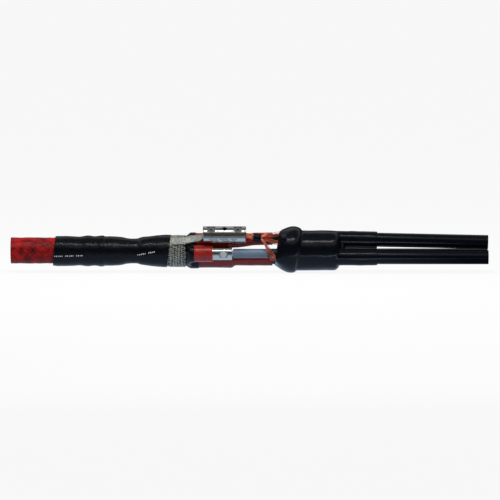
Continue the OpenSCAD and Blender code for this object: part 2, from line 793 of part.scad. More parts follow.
function braid_outline(x) =
    let (
        squeeze = braid_squeeze(x),
        half_width = (braid_width * (1 - squeeze) + braid_end_width * squeeze) / 2,
        half_height = (braid_thickness * (1 - squeeze) + braid_end_thickness * squeeze) / 2,
        lean = 90 - (braid_lean * (1 - squeeze) + screen_bolt_lean * squeeze)
    )
    [for (k = [0 : BRAID_POINTS - 1])
        let (
            angle = 360 * k / BRAID_POINTS,
            across = half_width * cos(angle),
            rib = 0.82 + 0.18 * abs(sin(180 * BRAID_RIBS * (across / (2 * half_width) + 0.5))),
            up = half_height * rib * sign(sin(angle)) * pow(abs(sin(angle)), 0.35),
            wrap = (1 - squeeze) * across / braid_rest_r,
            side = squeeze < 1 ? (braid_rest_r / (1 - squeeze) + up) * sin(wrap * 180 / PI) : across,
            rise = squeeze < 1
                ? (braid_rest_r / (1 - squeeze) + up) * cos(wrap * 180 / PI) - braid_rest_r / (1 - squeeze)
                : up
        )
        [-(side * cos(lean) + rise * sin(lean)), -side * sin(lean) + rise * cos(lean)]];

module earth_braid() {
    color([0.72, 0.75, 0.70]) swept(braid_line, [for (p = braid_line) braid_outline(p.x)]);
}

// Screen wires: three bunches of strands, gathered in the connector, that part for the boot's mouth
STRAND_SIDES = 6;
gather_pos = screen_pos - toward(screen_bolt_lean, gather_offset);
bunch_angles = [90, -30, 210];
bunch_crossing_end = 110;
sleeve_shift = -1.5;
// How far right of the connector's middle the bunches start, and where its bolt has pressed them
bunch_inset = 13;
bunch_press = 40;
sleeve_gap = 16;
screen_connector_end = screen_connector_start + screen_connector_length;
bunch_sleeve_start = screen_connector_end + sleeve_gap;
sleeve_slope = 0.14;
function gather_at(x) =
    x <= screen_connector_end + 1
        ? [x, gather_pos.x, gather_pos.y]
        : [x, gather_pos.x + sleeve_shift, gather_pos.y - 3.3 - sleeve_slope * (x - bunch_sleeve_start)];

// Where each bunch enters the mouth: beside the top core's tube, under the front core, and below the top core
function mouth_entry(i) =
    i == 0 ? finger_pos(0) + toward(43, neck_r + bunch_r + MOUTH_ROOM)
    : i == 1 ? phase_pos(1) + toward(-40, core_r + bunch_r + MOUTH_ROOM)
    : finger_pos(0) + toward(-20, neck_r + bunch_r + MOUTH_ROOM);
MOUTH_ROOM = 0.9;
function in_mouth(i, x) = [x, mouth_entry(i).x, mouth_entry(i).y];
function bunch_way(i) =
    i == 0 ? [[42, -8.5, 1.5], [54, -1.6, 0]]
    : i == 1 ? [[33, 2, 36], [40, -2.5, 25], [47, -4, 13.5], [52.5, -3, 5], [57, -0.8, 0.8]]
    : [[42, -4, 4], [54, -0.6, 0.5]];
side_angles = [30, -105, 126];
SIDE_ROOM = 1.6;
bunch_stop = sheath_start - 0.6;
INSIDE_STATIONS = [0, 0.25, 0.5, 0.75, 1];
function core_at(i, x) =
    let (t = max(0, min(1, (x - bend_start(i)) / (bend_end(i) - bend_start(i)))))
    phase_pos(i) + (finger_pos(i) - phase_pos(i)) * t * t * (3 - 2 * t);
function beside_core(i, x, angle) =
    let (p = core_at(i, x) + toward(angle, core_r + bunch_r + SIDE_ROOM))
    [x, p.x, p.y];
function bunch_inside(i) = [
    if (i == 1) beside_core(i, 93, -74),
    for (t = INSIDE_STATIONS)
        beside_core(i, bunch_crossing_end + t * (bunch_stop - bunch_crossing_end), side_angles[i])
];
bunch_sleeve_end = bunch_sleeve_start + bunch_sleeve_length;
function bunch_center_line(i) =
    let (spread = toward(bunch_angles[i], gather_ring), off = [0, spread.x, spread.y])
    smooth_line(concat(
        [for (x = [screen_middle + bunch_inset, screen_middle + bunch_press, screen_connector_end + 1,
            bunch_sleeve_start, bunch_sleeve_end - 5, bunch_sleeve_end]) gather_at(x) + off],
        [for (w = bunch_way(i)) in_mouth(i, w.x) + [0, w.y, w.z]],
        [for (x = [0.5, mouth_wall + 2, mouth_wall + 8]) in_mouth(i, mouth_x(mouth_entry(i).y) + x)],
        bunch_inside(i)
    ), 2);

function strand_outline(k) =
    let (center = k == 0 ? [0, 0] : (strand_d + STRAND_ROOM) * [cos(60 * k), sin(60 * k)])
    [for (j = [0 : STRAND_SIDES - 1])
        center + strand_d / 2 * [cos(360 * j / STRAND_SIDES), sin(360 * j / STRAND_SIDES)]];

module screen_bunch(i) {
    line = bunch_center_line(i);
    for (k = [0 : 6]) swept(line, [for (p = line) strand_outline(k)]);
}

module screen_wires(i) {
    color([0.80, 0.36, 0.24]) {
        screen_bunch(i);
        in_finger(i, sheath_start) rod(right_end - sheath_start) ring(sheath_bore_r - FIT, core_r + FIT);
    }
}

module bunch_sleeve() {
    bore_r = gather_r + 3 * FIT;
    color([0.06, 0.06, 0.07]) translate(gather_at(bunch_sleeve_start) + [FIT, 0, 0])
        rotate([0, atan(sleeve_slope), 0])
            rod(bunch_sleeve_length - 1) ring(bore_r + bunch_sleeve_wall, bore_r);
}

// Three-finger boot: its mouth is drawn in round what enters it, and its collar leans
function mouth_h(z) = (z - collar_z) / cos(collar_tilt) - collar_front * tan(collar_tilt);
function mouth_x(z) = collar_x + ((z - collar_z) * sin(collar_tilt) - collar_front) / cos(collar_tilt);

module collar_disc(s, radius, place = [0, 0]) {
    translate([s, place.x, place.y]) rotate([0, 90, 0])
        cylinder(h = 0.02, r = radius, $fn = HULL_FACETS, center = true);
}

module at_collar() {
    translate([collar_x, 0, collar_z]) rotate([0, collar_tilt, 0]) children();
}

module collar() {
    at_collar() hull() {
        for (i = [0 : 2]) {
            core = i == 0 ? finger_pos(0) : phase_pos(i);
            collar_disc(-collar_front, core_r + mouth_lip, [core.x, mouth_h(core.y)]);
            collar_disc(-collar_front, bunch_r + mouth_lip, [mouth_entry(i).x, mouth_h(mouth_entry(i).y)]);
        }
        for (s = collar_rings) rotate([0, 90, 0]) translate([0, 0, s])
            cylinder(h = 0.02, r = flare_r(s), $fn = 2 * HULL_FACETS);
    }
}

mouth_wall = 9;
collar_bore = [for (s = [mouth_wall - collar_front, -18, -10, 0, 8]) [s, flare_r(s) - boot_wall - 0.6]];

// The ways through the mouth: where they start, and how long they are
mouth_channel = [40, 60];
CHANNEL_STEP = 10;
// The body's rounded right end, as [distance from its end, drop]
body_round = [[-10, 0], [-5, 1.5], [0, 6], [3, 12], [4, 20]];
BODY_START = 4;

module boot_bores() {
    on_axis(axis_z) barrel(collar_x, boot_body_end - 10, cavity_r);
    at_collar() turned(concat([[collar_bore[0].x, 0]], collar_bore, [[8, 0]]));
    for (i = [0 : 2]) {
        core = i == 0 ? finger_pos(0) : phase_pos(i);
        translate([mouth_channel[0], core.x, core.y]) rod(mouth_channel[1]) disc(core_r + FIT);
        translate(in_mouth(i, mouth_channel[0])) rod(mouth_channel[1] - CHANNEL_STEP) disc(bunch_r + 2 * FIT);
        in_finger(i, boot_body_end - 14) rod(finger_end - boot_body_end + 20) disc(finger_bore_r);
    }
}

module cable_breakout() {
    color([0.05, 0.05, 0.06]) difference() {
        union() {
            collar();
            on_axis(axis_z) turned([
                [collar_x + BODY_START, 0], [collar_x + BODY_START, body_r],
                each [for (p = body_round) [boot_body_end + p.x, body_r - p.y]],
                [boot_body_end + body_round[len(body_round) - 1].x, 0]
            ]);
            for (i = [0 : 2]) in_finger(i, 0) turned([
                [boot_body_end - 8, 0], [boot_body_end - 8, finger_r], [finger_end - 1, finger_r],
                [finger_end, finger_r - 1], [finger_end, 0]
            ]);
        }
        boot_bores();
        translate([0, -2 * body_r, -body_r]) cube([boot_body_end, 4 * body_r, body_r]);
    }
}

paper_cable_serving();
paper_cable_armour();
paper_cable_bedding();
lead_sheath();
belt_paper();
core_fillers();
paper_core(0);  // paper_core_a
paper_core(1);  // paper_core_b
paper_core(2);  // paper_core_c
paper_conductor(0);  // paper_conductor_a
paper_conductor(1);  // paper_conductor_b
paper_conductor(2);  // paper_conductor_c
outer_sleeve();
paper_breakout();
roll_spring();
mesh_wrap();
earth_braid();
oil_barrier_tube(0);  // oil_barrier_tube_a
oil_barrier_tube(1);  // oil_barrier_tube_b
oil_barrier_tube(2);  // oil_barrier_tube_c
stress_mastic(0);  // stress_mastic_a
stress_mastic(1);  // stress_mastic_b
stress_mastic(2);  // stress_mastic_c
phase_connector(0);  // phase_connector_a
phase_connector(1);  // phase_connector_b
phase_connector(2);  // phase_connector_c
phase_bolts(0);  // phase_bolts_a
phase_bolts(1);  // phase_bolts_b
phase_bolts(2);  // phase_bolts_c
insulating_tube(0);  // insulating_tube_a
insulating_tube(1);  // insulating_tube_b
insulating_tube(2);  // insulating_tube_c
screen_connector();
screen_bolts();
bunch_sleeve();
cable_breakout();
cable_sheath(0);  // cable_sheath_a
cable_sheath(1);  // cable_sheath_b
cable_sheath(2);  // cable_sheath_c
screen_wires(0);  // screen_wires_a
screen_wires(1);  // screen_wires_b
screen_wires(2);  // screen_wires_c
core_screen(0);  // core_screen_a
core_screen(1);  // core_screen_b
core_screen(2);  // core_screen_c
xlpe_insulation(0);  // xlpe_insulation_a
xlpe_insulation(1);  // xlpe_insulation_b
xlpe_insulation(2);  // xlpe_insulation_c
cable_conductor(0);  // cable_conductor_a
cable_conductor(1);  // cable_conductor_b
cable_conductor(2);  // cable_conductor_c
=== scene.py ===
"""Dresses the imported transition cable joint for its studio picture.

X runs along the joint, -Y is the front and Z is up. The paper cable is on the left, the plastic cables
are on the right. Lengths are millimetres and angles degrees, except where a comment says otherwise.
"""

import logging
import math
import random
from dataclasses import dataclass
from enum import Enum

import bpy
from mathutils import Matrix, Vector


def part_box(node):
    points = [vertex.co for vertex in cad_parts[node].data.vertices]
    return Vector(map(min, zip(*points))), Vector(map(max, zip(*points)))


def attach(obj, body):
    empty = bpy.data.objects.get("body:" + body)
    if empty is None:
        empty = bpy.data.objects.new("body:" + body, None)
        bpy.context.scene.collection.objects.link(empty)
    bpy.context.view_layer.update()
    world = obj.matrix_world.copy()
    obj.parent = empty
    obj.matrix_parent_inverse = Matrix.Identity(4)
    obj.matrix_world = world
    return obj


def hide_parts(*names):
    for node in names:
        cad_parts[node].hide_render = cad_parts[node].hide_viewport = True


logging.basicConfig(level=logging.INFO, format="%(message)s")
LOG = logging.getLogger("joint")

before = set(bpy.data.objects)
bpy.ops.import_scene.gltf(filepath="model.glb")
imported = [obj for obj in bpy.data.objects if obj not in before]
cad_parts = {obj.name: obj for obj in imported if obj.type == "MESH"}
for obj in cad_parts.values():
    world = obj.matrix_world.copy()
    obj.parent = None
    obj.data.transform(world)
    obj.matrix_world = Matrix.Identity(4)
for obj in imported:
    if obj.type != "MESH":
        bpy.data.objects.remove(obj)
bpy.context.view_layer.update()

MM = 0.001
BODY = "root"
PHASES = "abc"

Point = tuple[float, float, float]
Span = tuple[float, float]
Line = list[Vector]
Colour = tuple[float, float, float, float]
Stop = tuple[float, Colour]
Tree = bpy.types.NodeTree
Node = bpy.types.Node
Piece = bpy.types.Object

WHITE: Colour = (1.0, 1.0, 1.0, 1.0)


# Node trees


def linear(code: str) -> Colour:
    """Turns an sRGB hex colour to linear.

    Args:
        code: six hex digits after a hash.

    Returns:
        Red, green, blue and alpha for a socket.
    """
    parts = [int(code[k : k + 2], 16) / 255 for k in (1, 3, 5)]
    red, green, blue = (c / 12.92 if c <= 0.04045 else ((c + 0.055) / 1.055) ** 2.4 for c in parts)
    return (red, green, blue, 1.0)


def add(tree: Tree, kind: str, inputs: dict, **settings: object) -> Node:
    """Adds one node.

    Args:
        tree: the node tree.
        kind: the node's type name.
        inputs: values by socket name or number; a (node, output) pair is linked.
        settings: attributes of the node.

    Returns:
        The new node.
    """
    node = tree.nodes.new(kind)
    for name, value in settings.items():
        setattr(node, name, value)
    for name, value in inputs.items():
        if isinstance(value, tuple) and isinstance(value[0], bpy.types.Node):
            tree.links.new(value[0].outputs[value[1]], node.inputs[name])
        else:
            node.inputs[name].default_value = value
    return node


def calculate(tree: Tree, operation: str, *values: object) -> Node:
    """Adds one Math node. Its values are numbers or (node, output) pairs."""
    return add(tree, "ShaderNodeMath", dict(enumerate(values)), operation=operation)


def rescale(tree: Tree, value: tuple, source: Span, target: Span) -> Node:
    """Adds one Map Range node that turns the source range to the target range."""
    return add(tree, "ShaderNodeMapRange", {
        "Value": value, "From Min": source[0], "From Max": source[1],
        "To Min": target[0], "To Max": target[1]})


def tinted(bands: tuple[Span, ...], tint: Point) -> list[Stop]:
    """Turns bands of place and brightness to the stops of a colour ramp."""
    return [(at, (*(value * share for share in tint), 1.0)) for at, value in bands]


def colour_ramp(tree: Tree, value: tuple, stops: list[Stop]) -> Node:
    """Adds one colour ramp.

    Args:
        tree: the node tree.
        value: the (node, output) pair that it reads.
        stops: the place and colour of each stop, in order.

    Returns:
        The new node.
    """
    node = add(tree, "ShaderNodeValToRGB", {0: value})
    elements = node.color_ramp.elements
    elements[0].position, elements[0].color = stops[0]
    elements[1].position, elements[1].color = stops[-1]
    for position, colour in stops[1:-1]:
        elements.new(position).color = colour
    return node


def empty_tree(owner: bpy.types.ID) -> Tree:
    """Gives a material or world an empty node tree, and returns the tree."""
    owner.use_nodes = True
    owner.node_tree.nodes.clear()
    return owner.node_tree


# Finishes


class Pattern(Enum):
    """What breaks up a finish's colour and surface."""

    CLOUDY = "cloudy"
    LATTICE = "lattice"
    TURNED = "turned"
    FIBROUS = "fibrous"


# How a pattern's patches and its grain are scaled along X, Y and Z, where not evenly
EVEN: Point = (1.0, 1.0, 1.0)
PATCH_SCALE = {Pattern.FIBROUS: (0.08, 1.0, 1.0), Pattern.TURNED: (6.0, 0.4, 0.4)}
GRAIN_SCALE = {Pattern.TURNED: (12.0, 0.3, 0.3)}

# How far a patch's noise reaches from its middle value, and the band of grain that changes the gloss
PATCH_REACH = 0.22
GRAIN_BAND: Span = (0.3, 0.7)

# Yarns round the serving each way, length of one turn, where a yarn's line starts and how dark it is
YARNS = 16
YARN_PITCH = 190.0
YARN_LINE: Span = (0.6, 1.0)
YARN_SHADE = 0.2

COAT_ROUGHNESS = 0.12


@dataclass(frozen=True)
class Finish:
    """One real material and how its surface was made.

    Attributes:
        shade: colour of the patches over the base, which are patch wide.
        contrast: how strongly they show.
        grain: width of the fine grain, which is relief high and changes the roughness.
        swell: height of the wide swells.
        centre: place along Y and Z of the axis that yarns go round.
    """

    name: str
    base: str
    shade: str
    roughness: float
    metallic: float = 0.0
    ior: float = 1.5
    coat: float = 0.0
    pattern: Pattern = Pattern.CLOUDY
    patch: float = 3.0
    contrast: float = 0.5
    grain: float = 0.8
    relief: float = 0.03
    swell: float = 0.0
    swell_size: float = 14.0
    roughness_spread: float = 0.08
    centre: Span = (0.0, 0.0)

    def around(self, tree: Tree, place: Node, count: int, pitch: float) -> Node:
        """Helical lines round a run along X.

        Args:
            tree: the node tree.
            place: separated object coordinates.
            count: lines round the girth.
            pitch: length of one turn; negative winds the other way.

        Returns:
            A node whose output runs from -1 to 1 across the lines.
        """
        side = calculate(tree, "SUBTRACT", (place, "Y"), self.centre[0] * MM)
        rise = calculate(tree, "SUBTRACT", (place, "Z"), self.centre[1] * MM)
        angle = calculate(tree, "ARCTAN2", (side, 0), (rise, 0))
        turns = calculate(tree, "MULTIPLY", (angle, 0), float(count))
        waves = math.tau * count / (pitch * MM)
        run = calculate(tree, "MULTIPLY", (place, "X"), waves)
        both = calculate(tree, "ADD", (turns, 0), (run, 0))
        return calculate(tree, "SINE", (both, 0))

    def mask(self, tree: Tree, coordinates: Node) -> Node:
        """The pattern of shade over base, from 0 to 1.

        Args:
            tree: the node tree.
            coordinates: the texture coordinate node.

        Returns:
            The node whose first output is the mask.
        """
        place = add(tree, "ShaderNodeMapping", {
            "Vector": (coordinates, "Object"), "Scale": PATCH_SCALE.get(self.pattern, EVEN)})
        cloud = add(tree, "ShaderNodeTexNoise", {
            "Vector": (place, "Vector"), "Scale": 1 / (self.patch * MM), "Detail": 5.0, "Roughness": 0.6})
        soft = rescale(tree, (cloud, 0), (0.5 - PATCH_REACH, 0.5 + PATCH_REACH), (0.0, self.contrast))
        if self.pattern is not Pattern.LATTICE:
            return soft
        split = add(tree, "ShaderNodeSeparateXYZ", {0: (coordinates, "Object")})
        left = self.around(tree, split, YARNS, YARN_PITCH)
        right = self.around(tree, split, YARNS, -YARN_PITCH)
        web = calculate(tree, "MAXIMUM", (left, 0), (right, 0))
        lines = rescale(tree, (web, 0), YARN_LINE, (0.0, YARN_SHADE))
        both = calculate(tree, "ADD", (soft, 0), (lines, 0))
        both.use_clamp = True
        return both

    def material(self) -> bpy.types.Material:
        """Makes the material, once for each name.

        Returns:
            The Blender material.
        """
        found = bpy.data.materials.get(self.name)
        if found:
            return found
        made = bpy.data.materials.new(self.name)
        tree = empty_tree(made)
        coordinates = add(tree, "ShaderNodeTexCoord", {})
        mask = self.mask(tree, coordinates)
        colour = add(tree, "ShaderNodeMix", {
            0: (mask, 0), 6: linear(self.base), 7: linear(self.shade)}, data_type="RGBA")
        grain_place = add(tree, "ShaderNodeMapping", {
            "Vector": (coordinates, "Object"), "Scale": GRAIN_SCALE.get(self.pattern, EVEN)})
        grain = add(tree, "ShaderNodeTexNoise", {
            "Vector": (grain_place, "Vector"), "Scale": 1 / (self.grain * MM), "Detail": 3.0})
        fine = add(tree, "ShaderNodeBump", {
            "Height": (grain, 0), "Strength": 1.0, "Distance": self.relief * MM})
        normal = fine
        if self.swell > 0:
            wave = add(tree, "ShaderNodeTexNoise", {
                "Vector": (coordinates, "Object"), "Scale": 1 / (self.swell_size * MM), "Detail": 1.0})
            normal = add(tree, "ShaderNodeBump", {
                "Height": (wave, 0), "Strength": 1.0, "Distance": self.swell * MM, "Normal": (fine, 0)})
        gloss = rescale(tree, (grain, 0), GRAIN_BAND, (
            self.roughness - self.roughness_spread, self.roughness + self.roughness_spread))
        shader = add(tree, "ShaderNodeBsdfPrincipled", {
            "Base Color": (colour, 2), "Roughness": (gloss, 0), "Normal": (normal, 0),
            "Metallic": self.metallic, "IOR": self.ior, "Coat Weight": self.coat,
            "Coat Roughness": COAT_ROUGHNESS})
        add(tree, "ShaderNodeOutputMaterial", {"Surface": (shader, 0)})
        return made


def centre_of(node: str) -> Vector:
    """Finds the middle of a CAD node's box, in metres."""
    low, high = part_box(node)
    return (low + high) / 2


CABLE_AXIS = centre_of("lead_sheath")

# Jute serving soaked in red compound: dull red with dark criss-cross yarn marks
SERVING = Finish(
    "red_jute_serving", "#bc0906", "#260105", 0.45, ior=1.3, pattern=Pattern.LATTICE, patch=17.0,
    contrast=1.0, grain=2.2, relief=0.5, centre=(0.0, CABLE_AXIS.z / MM))
# Heat-shrunk black polyolefin: deep black with a soft gloss, slightly uneven where it gripped
SLEEVE_BLACK = Finish(
    "shrunk_black_polyolefin", "#04060a", "#090d14", 0.26, ior=1.28, patch=20.0, grain=3.0, swell=0.5,
    swell_size=16.0)
# Moulded black polyolefin, glossier than the sleeve
BOOT_BLACK = Finish(
    "moulded_black_polyolefin", "#04060b", "#0a0f18", 0.19, ior=1.28, patch=24.0, grain=3.0,
    relief=0.02, swell=0.35, swell_size=20.0)
# Extruded black polyethylene: the glossiest black
SHEATH_BLACK = Finish(
    "extruded_black_polyethylene", "#03050a", "#080d16", 0.17, ior=1.28, patch=30.0, grain=2.0,
    relief=0.015)
# Red heat-shrunk insulating tube: deep red, waxy gloss
TUBE_RED = Finish(
    "shrunk_red_polyolefin", "#9c1d12", "#5a0c08", 0.24, ior=1.4, coat=0.15, patch=22.0, contrast=0.6,
    grain=2.5, relief=0.04, swell=0.5, swell_size=15.0)
# Tinned alloy, turned: fine rings round the axis
TURNED_TIN = Finish(
    "turned_tinned_alloy", "#cfcec4", "#9ba29d", 0.20, metallic=1.0, pattern=Pattern.TURNED, patch=8.0,
    grain=1.0, relief=0.012, roughness_spread=0.05)
# Machined alloy of the screen connector's bolts
SCREW_METAL = Finish(
    "machined_screw_alloy", "#9ba1a2", "#5d6365", 0.34, metallic=0.8, patch=5.0, relief=0.02)
# Machined alloy of the phase connectors' bolts: pale, almost matt
BOLT_METAL = Finish(
    "machined_bolt_alloy", "#cdd2d4", "#9aa1a4", 0.5, metallic=0.4, patch=5.0, relief=0.02)
# Tinned copper wire, knitted: pale grey metal
MESH_TIN = Finish(
    "knitted_tinned_copper", "#dfe1d2", "#7f8472", 0.42, metallic=0.6, contrast=0.8, grain=0.7,
    relief=0.01)
# Painted shade: a near-black lining that stands for the shadow between the knitted wires
MESH_PAINTED_SHADE = Finish("painted_shade_between_mesh_wires", "#121410", "#070806", 0.7, patch=4.0, grain=0.7, relief=0.02)
# Tinned copper wire, braided: darker
BRAID_TIN = Finish(
    "braided_tinned_copper", "#ccd1c6", "#5c6159", 0.48, metallic=0.6, patch=2.6, contrast=0.9,
    grain=0.7, relief=0.01)
# Tinned copper wire inside the braid, painted dark grey as the shade inside it
BRAID_PAINTED_SHADE = Finish("braid_inside_painted_shade", "#3a3e38", "#191b18", 0.6, metallic=0.4, grain=0.7, relief=0.05)
# Bare copper wire: salmon-red metal with darker patches at random
COPPER = Finish(
    "bare_copper_wire", "#e8876b", "#8a3324", 0.36, metallic=0.6, patch=6.0, contrast=0.8, relief=0.02)
# Cross-linked polyethylene, shaved: smooth blue-grey as the picture shows it
XLPE_BLUE = Finish(
    "shaved_crosslinked_polyethylene", "#66798c", "#4b5c6d", 0.34, ior=1.45, patch=18.0, contrast=0.4,
    grain=1.5, relief=0.015)
# Semiconducting core screen: black, matt
SCREEN_BLACK = Finish("semiconducting_screen", "#0c0c0e", "#17171a", 0.5, patch=6.0, grain=1.0)
# Oiled insulating paper: brown, with fibres along the cable
OILED_PAPER = Finish(
    "oiled_insulating_paper", "#a98a58", "#7b6038", 0.55, pattern=Pattern.FIBROUS, contrast=0.7,
    relief=0.1)
# Bedding soaked in tar: near-black, rough
TARRED_BEDDING = Finish("tarred_bedding", "#2a231d", "#14100d", 0.6, contrast=0.8, grain=0.9, relief=0.2)
# Galvanised steel tape: dull zinc grey
STEEL_TAPE = Finish(
    "galvanised_steel_tape", "#7d8083", "#55585a", 0.4, metallic=1.0, patch=4.0, grain=1.0)
# Extruded lead alloy: dark, dull and soft
LEAD = Finish(
    "extruded_lead_alloy", "#6a6d73", "#4c4f55", 0.5, metallic=0.9, patch=6.0, grain=1.5, relief=0.05)
# Stranded copper conductor of the paper cable
BARE_COPPER_ROD = Finish(
    "stranded_copper_conductor", "#b5623c", "#7d3a22", 0.36, metallic=1.0, grain=0.6)
# Stranded aluminium conductor of the plastic cables
ALUMINIUM = Finish("stranded_aluminium_conductor", "#b9bcbf", "#8b8e91", 0.34, metallic=1.0, grain=0.6)
# Stress control mastic: black, matt and lumpy
MASTIC = Finish("stress_control_mastic", "#1a1a1b", "#0e0e0f", 0.55, patch=5.0, grain=1.5, relief=0.1)
# Clear polymer of the oil barrier tubes, milky once shrunk
BARRIER = Finish("translucent_barrier_tube", "#b9bdb6", "#9aa098", 0.35, patch=6.0, grain=1.5)
# White printing ink on the sleeve
PRINT_WHITE = Finish("white_print", "#d8dbdc", "#aeb2b4", 0.5, patch=1.5, grain=0.6, relief=0.01)
# Dark stamping on the connector
PRINT_DARK = Finish("stamped_print", "#101214", "#2a2c2e", 0.5, patch=1.5, grain=0.6, relief=0.01)

KEPT_NODES: dict[str, Finish] = {
    "paper_cable_armour": STEEL_TAPE, "paper_cable_bedding": TARRED_BEDDING, "lead_sheath": LEAD,
    "belt_paper": OILED_PAPER, "core_fillers": OILED_PAPER, "roll_spring": STEEL_TAPE,
    "screen_connector": TURNED_TIN, "screen_bolts": SCREW_METAL,
}
KEPT_FAMILIES: dict[str, Finish] = {
    "paper_core": OILED_PAPER, "paper_conductor": BARE_COPPER_ROD, "oil_barrier_tube": BARRIER,
    "stress_mastic": MASTIC, "phase_connector": TURNED_TIN, "phase_bolts": BOLT_METAL,
    "cable_sheath": SHEATH_BLACK, "core_screen": SCREEN_BLACK, "xlpe_insulation": XLPE_BLUE,
    "cable_conductor": ALUMINIUM,
}


# Making pieces

SMOOTH_ANGLE = math.radians(40)
BEVEL_ANGLE = math.radians(50)
SIDES = 96
TOLERANCE = 0.01
UP = Vector((0, 0, 1))


def limited(share: float) -> float:
    """Keeps a share between 0 and 1."""
    return max(0.0, min(1.0, share))


def deselect() -> None:
    """Leaves nothing selected and no object in edit mode."""
    if bpy.context.object and bpy.context.object.mode != "OBJECT":
        bpy.ops.object.mode_set(mode="OBJECT")
    bpy.ops.object.select_all(action="DESELECT")


def take(piece: Piece) -> None:
    """Makes a piece the only one selected, and active."""
    deselect()
    piece.select_set(True)
    bpy.context.view_layer.objects.active = piece


def edit_all(piece: Piece) -> None:
    """Opens a piece in edit mode with all of it selected."""
    take(piece)
    bpy.ops.object.mode_set(mode="EDIT")
    bpy.ops.mesh.select_all(action="SELECT")


def join(pieces: list[Piece]) -> Piece:
    """Joins pieces.

    Args:
        pieces: the pieces.

    Returns:
        The first of them, which now holds all.
    """
    take(pieces[0])
    for piece in pieces[1:]:
        piece.select_set(True)
    bpy.ops.object.join()
    return pieces[0]


def placed(name: str, data: bpy.types.ID) -> Piece:
    """Puts a mesh, curve, light or camera in the scene as a new object."""
    made = bpy.data.objects.new(name, data)
    bpy.context.scene.collection.objects.link(made)
    return made


def smooth_line(points: list[Point], steps: int) -> Line:
    """A smooth line through points.

    Args:
        points: the points, in any unit.
        steps: stretches between two points.

    Returns:
        The points of the line.
    """
    knots = [Vector(p) for p in points]
    line = []
    for k in range(len(knots) - 1):
        a, b, c, d = knots[max(k - 1, 0)], knots[k], knots[k + 1], knots[min(k + 2, len(knots) - 1)]
        square = 2 * a - 5 * b + 4 * c - d
        cube = 3 * b - a - 3 * c + d
        for j in range(steps):
            t = j / steps
            line.append(0.5 * (2 * b + (c - a) * t + square * t**2 + cube * t**3))
    return line + [knots[-1]]


@dataclass
class Ring:
    """One ring of a lofted skin."""

    x: float
    radius: float
    side: float
    rise: float

    def middle(self) -> Vector:
        """The ring's middle, in metres."""
        return Vector((self.x * MM, self.side * MM, self.rise * MM))


def loft(name: str, rings: list[Ring], sides: int) -> Piece:
    """Extrudes a circle along rings, each with its own size and place.

    Args:
        name: the piece's name.
        rings: the rings, from left to right.
        sides: corners of a ring.

    Returns:
        An open tube.
    """
    deselect()
    first = rings[0]
    bpy.ops.mesh.primitive_circle_add(
        vertices=sides, radius=first.radius * MM, rotation=(0, math.pi / 2, 0), location=first.middle())
    piece = bpy.context.object
    piece.name = name
    bpy.ops.object.transform_apply(location=True, rotation=True, scale=True)
    edit_all(piece)
    last = first
    for ring in rings[1:]:
        step = ((ring.x - last.x) * MM, (ring.side - last.side) * MM, (ring.rise - last.rise) * MM)
        bpy.ops.mesh.extrude_region_move(TRANSFORM_OT_translate={"value": step})
        grow = ring.radius / last.radius
        bpy.ops.transform.resize(value=(1, grow, grow), center_override=ring.middle())
        last = ring
    bpy.ops.mesh.select_all(action="SELECT")
    bpy.ops.mesh.normals_make_consistent(inside=False)
    bpy.ops.object.mode_set(mode="OBJECT")
    face = piece.data.polygons[len(piece.data.polygons) // 2]
    middle = rings[len(rings) // 2]
    outward = Vector((0, face.center.y - middle.side * MM, face.center.z - middle.rise * MM))
    if face.normal.dot(outward) < 0:
        piece.data.flip_normals()
    return piece


def bisect(piece: Piece, point: Point, normal: Point) -> None:
    """Cuts a piece and drops what lies on one side.

    Args:
        piece: the piece.
        point: a point of the cut.
        normal: points to the side that is dropped.
    """
    edit_all(piece)
    bpy.ops.mesh.bisect(plane_co=[c * MM for c in point], plane_no=normal, clear_outer=True)
    bpy.ops.object.mode_set(mode="OBJECT")


def modify(piece: Piece, kind: str, **settings: object) -> None:
    """Adds one modifier and applies it.

    Args:
        piece: the piece.
        kind: the modifier's type name.
        settings: its attributes.
    """
    take(piece)
    modifier = piece.modifiers.new(kind, kind)
    for name, value in settings.items():
        setattr(modifier, name, value)
    bpy.ops.object.modifier_apply(modifier=modifier.name)


def ruffle(piece: Piece, size: float, height: float, seed: float) -> None:
    """Moves a surface in and out unevenly.

    Args:
        piece: the piece.
        size: width of one swell.
        height: full height of the swells.
        seed: shifts the pattern.
    """
    noise = bpy.data.textures.new(f"{piece.name}_swell_{seed:g}", "CLOUDS")
    noise.noise_scale = size * MM
    noise.noise_depth = 1
    shift = seed * MM
    for vertex in piece.data.vertices:
        vertex.co.x += shift
    modify(piece, "DISPLACE", texture=noise, texture_coords="LOCAL", strength=height * MM, mid_level=0.5)
    for vertex in piece.data.vertices:
        vertex.co.x -= shift


def wall(piece: Piece, thickness: float, edge: float) -> None:
    """Gives an open skin a wall on its inner side, with rounded edges."""
    modify(piece, "SOLIDIFY", thickness=thickness * MM, offset=-1.0, use_even_offset=True)
    modify(piece, "BEVEL", width=edge * MM, segments=2, limit_method="ANGLE", angle_limit=BEVEL_ANGLE)


def dress(piece: Piece, finish: Finish, slot: str, *nodes: str) -> Piece:
    """Finishes a piece: its place in its mesh, smooth shading and material; it is tied to the body and
    the CAD nodes that it replaces are hidden.

    Args:
        piece: the piece.
        finish: its material.
        slot: not used.
        nodes: the CAD nodes that it replaces.

    Returns:
        The piece.
    """
    take(piece)
    bpy.ops.object.transform_apply(location=True, rotation=True, scale=True)
    bpy.ops.object.shade_smooth_by_angle(angle=SMOOTH_ANGLE)
    piece.data.materials.clear()
    piece.data.materials.append(finish.material())
    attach(piece, BODY)
    if nodes:
        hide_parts(*nodes)
    LOG.info("%s: %d faces", piece.name, len(piece.data.polygons))
    return piece


def coat_node(name: str, finish: Finish) -> None:
    """Gives a CAD node that stays in view its material."""
    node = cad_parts[name]
    node.data.materials.clear()
    node.data.materials.append(finish.material())


